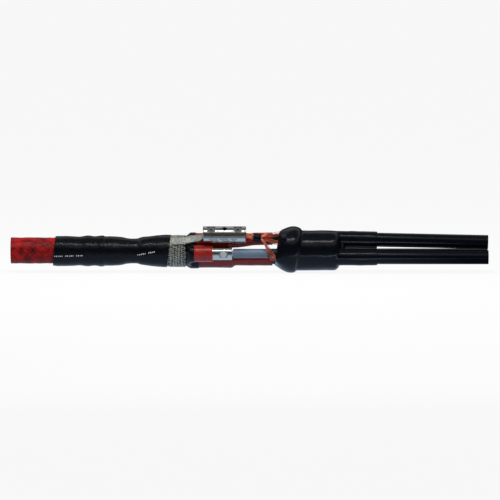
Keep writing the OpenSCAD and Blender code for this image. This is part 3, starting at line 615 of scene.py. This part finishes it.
def moulded_copy(
    node: str, name: str, voxel: float, passes: int, lumps: tuple[tuple[Point, float], ...] = ()
) -> Piece:
    """A copy of a CAD node whose sharp corners have melted, as heat-shrunk parts have.

    Args:
        node: the CAD node.
        name: the copy's name.
        voxel: size of the new faces.
        passes: how often it is smoothed.
        lumps: balls that melt into it, as middle and radius.

    Returns:
        The copy.
    """
    piece = placed(name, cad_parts[node].data.copy())
    edit_all(piece)
    bpy.ops.mesh.remove_doubles(threshold=TOLERANCE * MM)
    bpy.ops.object.mode_set(mode="OBJECT")
    for place, radius in lumps:
        deselect()
        bpy.ops.mesh.primitive_uv_sphere_add(
            segments=32, ring_count=16, radius=radius * MM, location=[c * MM for c in place])
        join([piece, bpy.context.object])
    modify(piece, "REMESH", mode="VOXEL", voxel_size=voxel * MM)
    modify(piece, "SMOOTH", factor=0.5, iterations=passes)
    return piece


def wires(name: str, lines: list[Line], radius: float, sides: int = 1) -> Piece:
    """Round wires along lines, as one mesh.

    Args:
        name: the piece's name.
        lines: the wires' points, in metres.
        radius: the wires' radius.
        sides: resolution of a wire's round section.

    Returns:
        The piece.
    """
    curve = bpy.data.curves.new(name, "CURVE")
    curve.dimensions = "3D"
    curve.bevel_depth = radius * MM
    curve.bevel_resolution = sides
    curve.use_fill_caps = True
    for line in lines:
        spline = curve.splines.new("POLY")
        spline.points.add(len(line) - 1)
        for point, place in zip(spline.points, line):
            point.co = (*place, 1)
    take(placed(name, curve))
    bpy.ops.object.convert(target="MESH")
    return bpy.context.object


def frame_along(line: Line, k: int) -> tuple[Vector, Vector]:
    """Finds two directions across a line at one of its points.

    Args:
        line: the line.
        k: number of the point.

    Returns:
        The direction nearest to up, and the one sideways.
    """
    run = (line[min(k + 1, len(line) - 1)] - line[max(k - 1, 0)]).normalized()
    side = run.cross(UP).normalized()
    return side.cross(run).normalized(), side


def beside(node: str, x: float, radius: float, lean: float) -> Point:
    """Places a point beside a CAD node's axis.

    Args:
        node: the CAD node.
        x: the station.
        radius: distance from the axis; negative goes to the far side.
        lean: angle up from the front, in degrees.

    Returns:
        The point.
    """
    axis = centre_of(node)
    angle = math.radians(lean)
    return (x, axis.y / MM - radius * math.cos(angle), axis.z / MM + radius * math.sin(angle))


# Sub-assemblies


@dataclass
class PaperCable:
    """The three-core paper cable's serving, cut off square on the left."""

    radius: float = 30.4
    wall: float = 3.1
    end: float = -550.0
    bare_end: float = -457.0
    covered_end: float = -344.0
    covered_inset: float = 0.5
    station: float = 3.0
    waviness: float = 0.7
    wave_scales: Span = (6.1, 17.3)
    plain_end: float = 8.0
    plain_inset: float = 0.2
    edge: float = 0.5

    def inset(self, x: float) -> float:
        """How far the skin lies below its full radius, because its wound yarns are wavy.

        Args:
            x: the station.

        Returns:
            The depth.
        """
        if x <= self.end + self.plain_end:
            return self.plain_inset
        short, long = self.wave_scales
        return self.waviness * (0.5 + 0.5 * math.sin(x / short) * math.sin(x / long))

    def build(self) -> None:
        """Makes the serving's wavy skin over its CAD tube."""
        rings = []
        x = self.end
        while x < self.covered_end:
            radius = self.radius if x < self.bare_end else self.radius - self.covered_inset
            rings.append(Ring(x, radius - self.inset(x), CABLE_AXIS.y / MM, CABLE_AXIS.z / MM))
            x += self.station
        piece = loft("serving", rings, SIDES)
        ruffle(piece, size=9.0, height=0.8, seed=31.0)
        wall(piece, self.wall, self.edge)
        dress(piece, SERVING, "red_serving", "paper_cable_serving")


@dataclass
class Sleeve:
    """The black outer sleeve, shrunk over the cable's cut-back end."""

    start: float = -450.0
    end: float = -186.0
    start_slant: float = 5.0
    end_slant: float = 7.0
    cover: float = 34.6
    wall: float = 2.0
    edge: float = 0.6
    steps: int = 4
    swells: tuple[Span, ...] = (
        (-20, -1.6), (-6, -1.4), (8, 0.0), (42, 0.0), (60, -1.2), (76, 0.9), (91, -0.4), (100, 0.0),
        (108, 1.3), (114, 1.0), (118, -0.6), (137, -0.8), (156, -2.2), (166, -4.6), (178, -5.8),
        (191, -5.8), (200, -2.9), (211, -1.2), (230, 1.0), (248, 2.0), (258, 2.6), (290, 2.6))

    def rings(self) -> list[Ring]:
        """Lays the sleeve's rings along its smoothed swells."""
        centre = centre_of("outer_sleeve")
        line = smooth_line([(self.start + x, self.cover + r, 0) for x, r in self.swells], self.steps)
        return [Ring(p.x, p.y, centre.y / MM, centre.z / MM) for p in line]

    def build(self) -> None:
        """Makes the sleeve with its slanted ends."""
        piece = loft("outer_sleeve_skin", self.rings(), SIDES)
        axis_z = centre_of("outer_sleeve").z / MM
        for x, slant, way in ((self.start, self.start_slant, -1), (self.end, self.end_slant, 1)):
            lean = math.radians(slant)
            bisect(piece, (x, 0, axis_z), (way * math.cos(lean), 0, -way * math.sin(lean)))
        ruffle(piece, size=26.0, height=1.6, seed=5.0)
        ruffle(piece, size=9.0, height=0.5, seed=61.0)
        wall(piece, self.wall, self.edge)
        dress(piece, SLEEVE_BLACK, "black_polymer", "outer_sleeve")


@dataclass
class Knit:
    """The knitted mesh: courses of looped wire over a lining painted dark as the shade between them."""

    loops: int = 22
    points: int = 14
    wire: float = 0.37
    pair_gap: float = 1.15
    start: float = -192.0
    end: float = -146.6
    radius: float = 36.4
    flare_from: float = 34.4
    flare_end: float = -181.0
    pitch: float = 6.4
    course_height: float = 4.2
    overhang: float = 1.15
    relief: float = 0.35
    first_course: float = 0.4
    turn_step: float = 0.18
    lining_depth: float = 0.9
    lining_wall: float = 0.6
    lining_edge: float = 0.2
    lining_station: float = 2.0
    unevenness: float = 0.8

    def radius_at(self, x: float) -> float:
        """Works out the mesh's radius at a station."""
        part = limited((x - self.start) / (self.flare_end - self.start))
        return self.flare_from + (self.radius - self.flare_from) * part * part * (3 - 2 * part)

    def course(self, x: float, turn: float) -> Line:
        """One looped wire all the way round.

        Args:
            x: the course's middle.
            turn: how far it is turned, in loops.

        Returns:
            The wire's points, in metres.
        """
        axis = centre_of("mesh_wrap")
        line = []
        for k in range(self.loops * self.points + 1):
            phase = math.tau * k / self.points
            along = self.course_height * math.cos(phase)
            sway = 0.5 * self.overhang / math.pi * math.sin(2 * phase)
            angle = (k / self.points + turn + sway) * math.tau / self.loops
            sag = math.sin(3 * angle + 5 * turn) + 0.6 * math.sin(8 * angle - 3 * turn)
            along += self.unevenness * sag
            radius = (self.radius_at(x + along) + self.relief * math.cos(2 * phase)) * MM
            side, rise = radius * math.sin(angle), radius * math.cos(angle)
            line.append(Vector(((x + along) * MM, axis.y + side, axis.z + rise)))
        return line

    def build(self) -> None:
        """Makes the lining, painted dark as shade, and the courses on it."""
        axis = centre_of("mesh_wrap")
        rings = []
        x = self.start
        while x < self.end:
            rings.append(Ring(x, self.radius_at(x) - self.lining_depth, axis.y / MM, axis.z / MM))
            x += self.lining_station
        lining = loft("mesh_lining_painted_shade", rings, SIDES)
        wall(lining, self.lining_wall, self.lining_edge)
        # The lining's near-black colour is painted shade between the knitted wires
        dress(lining, MESH_PAINTED_SHADE, "tinned_copper", "mesh_wrap")
        lines = []
        for k in range(int((self.end - self.start - self.course_height) / self.pitch)):
            x = self.start + self.course_height + self.pitch * (k + self.first_course)
            for side in (0.0, self.pair_gap):
                lines.append(self.course(x + side, 0.5 * (k % 2) + self.turn_step * k))
        piece = wires("knitted_mesh", lines, self.wire)
        dress(piece, MESH_TIN, "tinned_copper")


@dataclass
class Braid:
    """The flat earth braid from the mesh to the screen connector."""

    width: float = 22.0
    thickness: float = 2.4
    end_width: float = 15.0
    end_thickness: float = 4.6
    squeeze_length: float = 9.0
    wire: float = 0.45
    carriers: int = 18
    pitch: float = 30.0
    strand_gap: float = 0.85
    weave: float = 0.35
    face_height: float = 0.75
    laid_wires: int = 24
    lean: float = 43.0
    bolt_lean: float = 52.0
    rest: float = 37.75
    middle: float = 32.55
    sleeve_end: float = -186.0
    mesh_end: float = -146.5
    mouth: float = -107.0
    bore_drop: float = 5.0
    inside_share: float = 0.95
    steps: int = 6
    free_way: tuple[Point, ...] = ((-128.0, -27.8, 80.4), (-113.0, -25.0, 81.8))

    def line(self) -> Line:
        """Lays the braid's middle line along the mesh, then free to the connector's mouth.

        Returns:
            Its points.
        """
        edge, under, over = self.sleeve_end, self.middle, self.rest
        trunk = [
            (edge - 26, under - 1.6), (edge - 4, under), (edge + 3, under + 1.1), (edge + 8, over + 0.8),
            (edge + 24, over + 1.0), (self.mesh_end, over + 3.2)]
        points = [beside("mesh_wrap", x, radius, self.lean) for x, radius in trunk]
        points.extend(self.free_way)
        for depth in (5, 40):
            points.append(beside("screen_connector", self.mouth + depth, -self.bore_drop, self.bolt_lean))
        return smooth_line(points, self.steps)

    def strip_point(self, line: Line, k: int, across: float, up: float) -> Vector:
        """Places a point of the strip, which is curved round the cable.

        Args:
            line: the middle line.
            k: number of the line's point.
            across: -1 at one edge of the strip, 1 at the other.
            up: -1 on its lower face, 1 on its upper face.

        Returns:
            The point.
        """
        squeeze = limited((line[k].x - self.mouth + self.squeeze_length) / self.squeeze_length)
        flat = limited((line[k].x - self.mesh_end) / (self.mouth - self.mesh_end))
        half = (self.width * (1 - squeeze) + self.end_width * squeeze) / 2
        height = (self.thickness * (1 - squeeze) + self.end_thickness * squeeze) / 2
        lean = math.radians(90 - (self.lean * (1 - flat) + self.bolt_lean * flat))
        bend = max(1e-3, 1 - flat) / self.rest
        side = (1 / bend + up * height) * math.sin(across * half * bend)
        rise = (1 / bend + up * height) * math.cos(across * half * bend) - 1 / bend
        return line[k] + Vector((0, -(side * math.cos(lean) + rise * math.sin(lean)),
                                 -side * math.sin(lean) + rise * math.cos(lean)))

    def plait(self, line: Line) -> list[Line]:
        """Plaits the wires, each from edge to edge and back underneath.

        Args:
            line: the middle line.

        Returns:
            Each wire's points, in metres.
        """
        lengths = [0.0]
        for a, b in zip(line, line[1:]):
            lengths.append(lengths[-1] + (b - a).length)
        wound = []
        for carrier in range(self.carriers):
            for strand in (-1, 0, 1):
                path = []
                for k in range(len(line)):
                    phase = (lengths[k] / self.pitch + carrier / self.carriers) % 1.0
                    across = 4 * abs(phase - 0.5) - 1
                    face = 1 if phase < 0.5 else -1
                    weave = self.weave * math.cos(math.pi * self.carriers * 0.5 * across)
                    place = max(-1.0, min(1.0, across + strand * self.strand_gap * 2 / self.width))
                    path.append(self.strip_point(line, k, place, face * self.face_height + weave) * MM)
                wound.append(path)
        return wound

    def build(self) -> None:
        """Makes the strip's inside from wires laid side by side, painted dark as shade, and the plait
        round it.
        """
        line = self.line()
        laid = []
        for n in range(self.laid_wires):
            across = self.inside_share * (2 * n / (self.laid_wires - 1) - 1)
            laid.append([self.strip_point(line, k, across, 0.0) * MM for k in range(len(line))])
        # The inside's dark grey is painted shade; the real wires are pale tinned copper
        core = wires("earth_braid_inside_painted_shade", laid, self.thickness / 2 - self.wire)
        dress(core, BRAID_PAINTED_SHADE, "tinned_copper", "earth_braid")
        piece = wires("earth_braid_plait", self.plait(line), self.wire)
        dress(piece, BRAID_TIN, "tinned_copper")


@dataclass
class RedTubes:
    """The red insulating tubes on the three phases."""

    start: float = -135.0
    outer: float = 19.5
    neck: float = 14.5
    wall_full: float = 3.6
    wall_neck: float = 2.9
    shoulder: float = 6.0
    cut: float = -84.6
    end: float = 54.9
    bend_start: float = -41.0
    bend_end: float = 28.0
    station: float = 1.9
    sides: int = 80
    edge: float = 0.5
    core_a: Span = (0.0, 77.66)
    melt: float = 2.0
    shoulder_a: float = -48.0
    shoulder_c: float = -40.0
    short_rings: int = 27
    short_edge: float = 0.6

    def offset(self, x: float, shift: float) -> float:
        """Works out how far an S of two arcs has gone sideways.

        Args:
            x: the station.
            shift: how far it goes in all.

        Returns:
            The way sideways so far.
        """
        length = self.bend_end - self.bend_start
        turn = 2 * math.atan(shift / length)
        radius = length / (2 * math.sin(turn))
        part = max(0.0, min(length, x - self.bend_start))
        if part <= length / 2:
            return radius - math.sqrt(radius**2 - part**2)
        return shift - radius + math.sqrt(radius**2 - (length - part) ** 2)

    def full(self, phase: str, shoulder_at: float) -> None:
        """Makes a full tube with its shoulder and neck. Only the top phase bends to its core.

        Args:
            phase: a or c.
            shoulder_at: station of the shoulder.
        """
        place = centre_of(f"phase_connector_{phase}")
        core_side, core_rise = self.core_a if phase == "a" else (place.y / MM, place.z / MM)
        shift = math.hypot(core_side - place.y / MM, core_rise - place.z / MM)
        rings = []
        x = self.start
        while x < self.end + TOLERANCE:
            soft = limited((x - shoulder_at + self.melt) / (self.shoulder + 2 * self.melt))
            soft = soft * soft * (3 - 2 * soft)
            radius = self.outer + (self.neck - self.outer) * soft
            part = self.offset(x, shift) / shift if phase == "a" else 0.0
            side = place.y / MM + (core_side - place.y / MM) * part
            rise = place.z / MM + (core_rise - place.z / MM) * part
            rings.append(Ring(x, radius, side, rise))
            x += self.station
        piece = loft(f"red_tube_{phase}", rings, self.sides)
        ruffle(piece, size=14.0, height=1.1, seed=17.0 if phase == "a" else 3.0)
        wall(piece, self.wall_neck, self.edge)
        dress(piece, TUBE_RED, "red_polymer", f"insulating_tube_{phase}")

    def short(self) -> None:
        """Makes the front tube, cut back to show its connector."""
        place = centre_of("phase_connector_b")
        rings = [
            Ring(self.start + self.station * k, self.outer, place.y / MM, place.z / MM)
            for k in range(self.short_rings)
        ]
        rings[-1].x = self.cut
        piece = loft("red_tube_b", rings, self.sides)
        ruffle(piece, size=18.0, height=0.5, seed=9.0)
        wall(piece, self.wall_full, self.short_edge)
        dress(piece, TUBE_RED, "red_polymer", "insulating_tube_b")

    def build(self) -> None:
        """Makes all three."""
        self.full("a", self.shoulder_a)
        self.short()
        self.full("c", self.shoulder_c)


@dataclass
class Copper:
    """The screen wires: gathered in the connector, parted for the boot, laid round each core's end.

    Attributes:
        fans: how far each phase's bunch opens before the boot, as a share of spread.
        unevenness: most that a strand is off its even place, in radians.
        twist: least and most turn of a strand in twist_points points, in radians.
    """

    strands: int = 9
    inner_strands: int = 5
    inner_spread: float = 0.45
    wire: float = 0.64
    spread: float = 2.75
    fans: tuple[float, ...] = (1.9, 3.0, 1.9)
    fan_start: float = 28.0
    fan_end: float = 62.0
    closed_end: float = 90.0
    closing: float = 16.0
    unevenness: float = 0.2
    twist: Span = (0.7, 1.4)
    twist_points: int = 10
    steps: int = 6
    ring_count: int = 34
    ring_radius: float = 12.15
    ring_wire: float = 0.6
    ring_length: float = 12.0
    ring_inset: float = 0.2
    sheath_radius: float = 16.15

    def centre_line(self, phase: str) -> Line:
        """Lays the middle line of a bunch as its solids run.

        Args:
            phase: a, b or c.

        Returns:
            Its points.
        """
        ways = {
            "a": [(-45.5, -27.5, 89.6), (-8, -24.1, 90.8), (8, -25.6, 87.0), (27, -25.6, 84.6),
                  (42, -24.6, 89.3), (54, -17.7, 87.9), (68, -12.9, 89.7), (84, -12.9, 89.7),
                  (110, -13.9, 86.0), (185, -14.1, 85.8)],
            "b": [(-45.5, -27.5, 84.8), (-8, -27.5, 84.8), (8, -29.0, 81.5), (22, -29.0, 79.6),
                  (27, -29.0, 78.9), (33, -34.1, 71.4), (40, -38.6, 60.4), (47, -40.1, 48.9),
                  (52.5, -39.1, 40.4), (57, -36.9, 36.2), (60.6, -36.1, 35.4), (71, -36.1, 35.4),
                  (93, -28.4, 29.9), (110, -20.0, 29.8), (185, -19.2, 21.2)],
            "c": [(-45.5, -20.7, 84.8), (-8, -20.7, 84.8), (8, -22.2, 81.5), (22, -22.2, 79.6),
                  (27, -22.2, 78.9), (42, -21.5, 75.5), (54, -18.1, 72.0), (66, -17.5, 71.4),
                  (80, -17.5, 71.4), (110, 4.8, 42.2), (185, 14.0, 50.1)],
        }
        return smooth_line(ways[phase], self.steps)

    def bunch(self, phase: str) -> list[Line]:
        """Twists the strands of one bunch a little, and unevenly.

        Args:
            phase: a, b or c.

        Returns:
            Each strand's points, in metres.
        """
        chance = random.Random(f"bunch {phase}")
        fan = self.fans[PHASES.index(phase)]
        line = self.centre_line(phase)
        paths = []
        for k in range(self.strands):
            inner = k < self.inner_strands
            ring = 0.0 if k == 0 else self.spread * (self.inner_spread if inner else 1.0)
            turn = math.tau * k / (self.inner_strands - 1 if inner else self.strands - self.inner_strands)
            turn += chance.uniform(-self.unevenness, self.unevenness)
            drift = chance.uniform(*self.twist)
            path = []
            for step, place in enumerate(line):
                up, side = frame_along(line, step)
                angle = turn + drift * step / self.twist_points
                opened = limited((place.x - self.fan_start) / (self.fan_end - self.fan_start))
                closed = limited((self.closed_end - place.x) / self.closing)
                wide = ring * (1 + (fan - 1) * opened * closed)
                path.append((place + wide * math.cos(angle) * up + ring * math.sin(angle) * side) * MM)
            paths.append(path)
        return paths

    def cut_end(self, phase: str) -> list[Line]:
        """Lays the screen wires that show round the core at the cable's cut end.

        Args:
            phase: a, b or c.

        Returns:
            Each wire's two ends, in metres.
        """
        sheath_low, sheath_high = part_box(f"cable_sheath_{phase}")
        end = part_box(f"core_screen_{phase}")[1].x
        side = (sheath_low.y + sheath_high.y) / 2
        rise = sheath_low.z + self.sheath_radius * MM
        inner, outer = (Vector((end - depth * MM, 0, 0)) for depth in (self.ring_length, self.ring_inset))
        radius = self.ring_radius * MM
        lines = []
        for k in range(self.ring_count):
            angle = math.tau * k / self.ring_count
            place = Vector((0, side + radius * math.cos(angle), rise + radius * math.sin(angle)))
            lines.append([place + inner, place + outer])
        return lines

    def build(self) -> None:
        """Makes each phase's wires as one piece."""
        for phase in PHASES:
            piece = join([
                wires(f"copper_bunch_{phase}", self.bunch(phase), self.wire),
                wires(f"copper_ends_{phase}", self.cut_end(phase), self.ring_wire)])
            dress(piece, COPPER, "copper", f"screen_wires_{phase}")
        coat_node("bunch_sleeve", SLEEVE_BLACK)


@dataclass
class Boot:
    """The three-finger boot over the plastic cables, and the smaller one over the paper cores."""

    voxel: float = 1.6
    small_voxel: float = 1.3
    passes: int = 5
    lumps: tuple[tuple[Point, float], ...] = (
        ((80.5, -35.5, 79.5), 9.0), ((211.0, -11.7, 57.4), 9.0), ((211.0, 11.7, 57.4), 9.0),
        ((211.0, 0.0, 37.0), 9.0))

    def build(self) -> None:
        """Makes both boots from their solids, with melted corners and uneven skins."""
        piece = moulded_copy("cable_breakout", "cable_boot", self.voxel, self.passes, self.lumps)
        ruffle(piece, size=34.0, height=1.6, seed=11.0)
        dress(piece, BOOT_BLACK, "black_polymer", "cable_breakout")
        small = moulded_copy("paper_breakout", "paper_core_boot", self.small_voxel, self.passes)
        ruffle(small, size=15.0, height=1.0, seed=23.0)
        dress(small, SLEEVE_BLACK, "black_polymer", "paper_breakout")


@dataclass
class PrintRow:
    """A row of plain dashes where the real piece carries print.

    Attributes:
        node: the node whose axis the row goes round.
        run: its first and last station.
        turns: angle up from the front at both, in degrees.
        radius: radius of the surface under it.
        short: length of a short dash, as a share of a long one.
        word: one dash in this many is left out.
    """

    name: str
    node: str
    run: Span
    turns: Span
    radius: float
    height: float
    length: float
    gap: float
    thickness: float = 0.3
    short: float = 0.7
    word: int = 6

    def build(self, finish: Finish, slot: str) -> None:
        """Makes the dashes as thin blocks wrapped on the surface.

        Args:
            finish: the material.
            slot: the record's material slot.
        """
        axis = centre_of(self.node)
        deselect()
        blocks = []
        x = self.run[0]
        count = 0
        while x < self.run[1]:
            part = (x - self.run[0]) / (self.run[1] - self.run[0])
            angle = math.radians(self.turns[0] + (self.turns[1] - self.turns[0]) * part)
            count += 1
            if count % self.word:
                side, rise = self.radius * MM * math.cos(angle), self.radius * MM * math.sin(angle)
                bpy.ops.mesh.primitive_cube_add(
                    size=MM, rotation=(-angle, 0, 0), location=(x * MM, axis.y - side, axis.z + rise))
                block = bpy.context.object
                share = self.short if count % 2 else 1.0
                block.scale = (self.length * share, self.thickness, self.height)
                blocks.append(block)
            x += self.length + self.gap
        piece = join(blocks)
        piece.name = self.name
        piece.data.name = self.name
        dress(piece, finish, slot)


def print_rows() -> None:
    """Adds the sleeve's two rows of white dashes and the connector's two rows of dark ones."""
    for row in (
        PrintRow("sleeve_dashes_left", "outer_sleeve", (-448, -384), (-16, -13), 34.9, 2.6, 2.6, 1.6),
        PrintRow("sleeve_dashes_right", "outer_sleeve", (-257, -190), (-10, 10), 35.6, 2.6, 2.6, 1.6),
    ):
        row.build(PRINT_WHITE, "black_polymer")
    for row in (
        PrintRow("connector_dashes_top", "screen_connector", (-92, -28), (-27, -27), 19.6, 3.0, 2.4, 1.7),
        PrintRow("connector_dashes_low", "screen_connector", (-88, -34), (-40, -40), 19.6, 3.0, 2.4, 1.7),
    ):
        row.build(PRINT_DARK, "tinned_alloy")


def dress_kept_nodes() -> None:
    """Gives each CAD node that stays in view the material of the real piece."""
    named = dict(KEPT_NODES)
    for family, finish in KEPT_FAMILIES.items():
        for phase in PHASES:
            named[f"{family}_{phase}"] = finish
    for name, finish in named.items():
        coat_node(name, finish)


# Studio


@dataclass
class Studio:
    """Pale floor, soft lights and the photograph's camera. Lengths but for aim and sensor are metres.

    Attributes:
        floor_share: share of the floor's picture that is glow.
        floor_bands: place and brightness of what gloss mirrors of the floor, up to floor_reach.
        line_place: distance of the mirrored line of light, and half its width.
        line_run: where it comes up; all that the floor mirrors fades along fade_run.
        room_bands: height and brightness of what gloss mirrors of the room.
    """

    photo_pixels: int = 500
    mm_per_pixel: float = 2.306
    aim: Point = (1.2, 0.0, 51.6)
    elevation: float = 5.0
    distance: float = 12.0
    sensor: float = 36.0
    clip_end: float = 200.0
    floor_size: float = 40.0
    floor_share: float = 0.86
    floor_paint: Colour = (0.5, 0.5, 0.52, 1.0)
    floor_glow: float = 1.06
    floor_reach: float = 0.4
    floor_tint: Point = (0.88, 1.0, 1.2)
    floor_near: Stop = (0.25, (0.56, 0.7, 0.92, 1.0))
    floor_bands: tuple[Span, ...] = ((0.48, 0.08), (0.60, 0.06), (0.63, 1.0), (0.68, 1.0), (0.71, 0.05))
    floor_far: Stop = (1.0, (0.03, 0.03, 0.035, 1.0))
    line_place: Span = (0.134, 0.006)
    line_run: Span = (0.04, 0.32)
    line_light: float = 30.0
    fade_run: Span = (0.26, 0.5)
    fade_low: float = 0.1
    room_tint: Point = (1.0, 1.0, 1.03)
    room_low: Stop = (0.0, (0.9, 0.9, 0.9, 1.0))
    room_bands: tuple[Span, ...] = ((0.02, 0.05), (0.5, 0.035), (0.6, 0.65), (0.82, 0.75), (0.92, 0.12))
    room_high: Stop = (1.0, (0.2, 0.2, 0.22, 1.0))
    soft_colour: Colour = (0.97, 0.98, 1.0, 1.0)
    soft_light: float = 0.32

    def camera(self) -> None:
        """Places the camera on the photograph's line of sight."""
        data = bpy.data.cameras.new("studio_camera")
        made = placed("studio_camera", data)
        lean = math.radians(self.elevation)
        back = Vector((0, -math.cos(lean), math.sin(lean)))
        made.location = Vector(self.aim) * MM + back * self.distance
        made.rotation_euler = (math.pi / 2 - lean, 0, 0)
        data.sensor_width = self.sensor
        data.lens = self.sensor * self.distance / (self.photo_pixels * self.mm_per_pixel * MM)
        data.clip_end = self.clip_end
        bpy.context.scene.camera = made

    def lamp(
        self, name: str, place: Point, target: Point, size: Span, power: float, mirrored: bool = True
    ) -> None:
        """Adds one soft box.

        Args:
            name: its name.
            place: where it is.
            target: the point that it faces.
            size: its width and height.
            power: its power in watts.
            mirrored: whether it shows in gloss.
        """
        data = bpy.data.lights.new(name, "AREA")
        data.shape = "RECTANGLE"
        data.size, data.size_y = size
        data.energy = power
        made = placed(name, data)
        made.location = place
        made.visible_glossy = mirrored
        made.rotation_euler = (Vector(target) - Vector(place)).to_track_quat("-Z", "Y").to_euler()

    def world(self) -> None:
        """Makes the room: white to the camera, plain grey as light, banded in reflections."""
        made = bpy.data.worlds.new("studio_world")
        bpy.context.scene.world = made
        tree = empty_tree(made)
        rays = add(tree, "ShaderNodeLightPath", {})
        direct = calculate(tree, "MAXIMUM", (rays, "Is Camera Ray"), (rays, "Is Transmission Ray"))
        way = add(tree, "ShaderNodeTexCoord", {})
        split = add(tree, "ShaderNodeSeparateXYZ", {0: (way, "Generated")})
        bands = tinted(self.room_bands, self.room_tint)
        room = colour_ramp(tree, (split, "Z"), [self.room_low, *bands, self.room_high])
        mirrored = add(tree, "ShaderNodeBackground", {"Color": (room, 0), "Strength": 1.0})
        soft = add(tree, "ShaderNodeBackground", {"Color": self.soft_colour, "Strength": self.soft_light})
        white = add(tree, "ShaderNodeBackground", {"Color": WHITE, "Strength": 1.0})
        light = add(tree, "ShaderNodeMixShader", {
            0: (rays, "Is Glossy Ray"), 1: (soft, 0), 2: (mirrored, 0)})
        shown = add(tree, "ShaderNodeMixShader", {0: (direct, 0), 1: (light, 0), 2: (white, 0)})
        add(tree, "ShaderNodeOutputWorld", {"Surface": (shown, 0)})

    def floor(self) -> None:
        """Lays the pale floor, which keeps a faint shadow."""
        deselect()
        bpy.ops.mesh.primitive_plane_add(size=self.floor_size)
        piece = bpy.context.object
        piece.name = "studio_floor"
        bpy.ops.object.transform_apply(location=True, rotation=True, scale=True)
        made = bpy.data.materials.new("pale_studio_floor")
        tree = empty_tree(made)
        rays = add(tree, "ShaderNodeLightPath", {})
        seen = calculate(tree, "MULTIPLY", (rays, "Is Camera Ray"), self.floor_share)
        paint = add(tree, "ShaderNodeBsdfDiffuse", {"Color": self.floor_paint})
        glow = add(tree, "ShaderNodeEmission", {"Color": WHITE, "Strength": self.floor_glow})
        where = add(tree, "ShaderNodeTexCoord", {})
        split = add(tree, "ShaderNodeSeparateXYZ", {0: (where, "Object")})
        away = calculate(tree, "ABSOLUTE", (split, "Y"))
        reach = calculate(tree, "DIVIDE", (away, 0), self.floor_reach)
        stops = tinted(self.floor_bands, self.floor_tint)
        bands = colour_ramp(tree, (reach, 0), [self.floor_near, *stops, self.floor_far])
        right = rescale(tree, (split, "X"), self.line_run, (0.0, self.line_light))
        near = calculate(tree, "COMPARE", (away, 0), *self.line_place)
        line = calculate(tree, "MULTIPLY_ADD", (near, 0), (right, 0), 1.0)
        fade = rescale(tree, (split, "X"), self.fade_run, (1.0, self.fade_low))
        light = calculate(tree, "MULTIPLY", (line, 0), (fade, 0))
        mirrored = add(tree, "ShaderNodeEmission", {"Color": (bands, 0), "Strength": (light, 0)})
        lit = add(tree, "ShaderNodeMixShader", {
            0: (rays, "Is Glossy Ray"), 1: (paint, 0), 2: (mirrored, 0)})
        both = add(tree, "ShaderNodeMixShader", {0: (seen, 0), 1: (lit, 0), 2: (glow, 0)})
        add(tree, "ShaderNodeOutputMaterial", {"Surface": (both, 0)})
        piece.data.materials.append(made)

    def build(self) -> None:
        """Sets up the whole studio."""
        self.camera()
        self.world()
        self.floor()
        self.lamp("top_softbox", (-0.1, -0.5, 1.6), (0, 0, 0.05), (2.2, 0.35), 21, mirrored=False)
        self.lamp("gloss_strip", (-0.16, -0.82, 1.42), (-0.16, 0, 0.05), (1.15, 0.05), 6)
        self.lamp("front_fill", (0.2, -2.4, 0.9), (0, 0, 0.05), (2.0, 1.2), 9, mirrored=False)
        bpy.context.scene.view_settings.view_transform = "Standard"


def main() -> None:
    """Builds the studio and every sub-assembly, in order."""
    Studio().build()
    dress_kept_nodes()
    for part in (PaperCable(), Sleeve(), Knit(), Braid(), RedTubes(), Copper(), Boot()):
        LOG.info("building %s", type(part).__name__)
        part.build()
    print_rows()


if __name__ == "__main__":
    main()
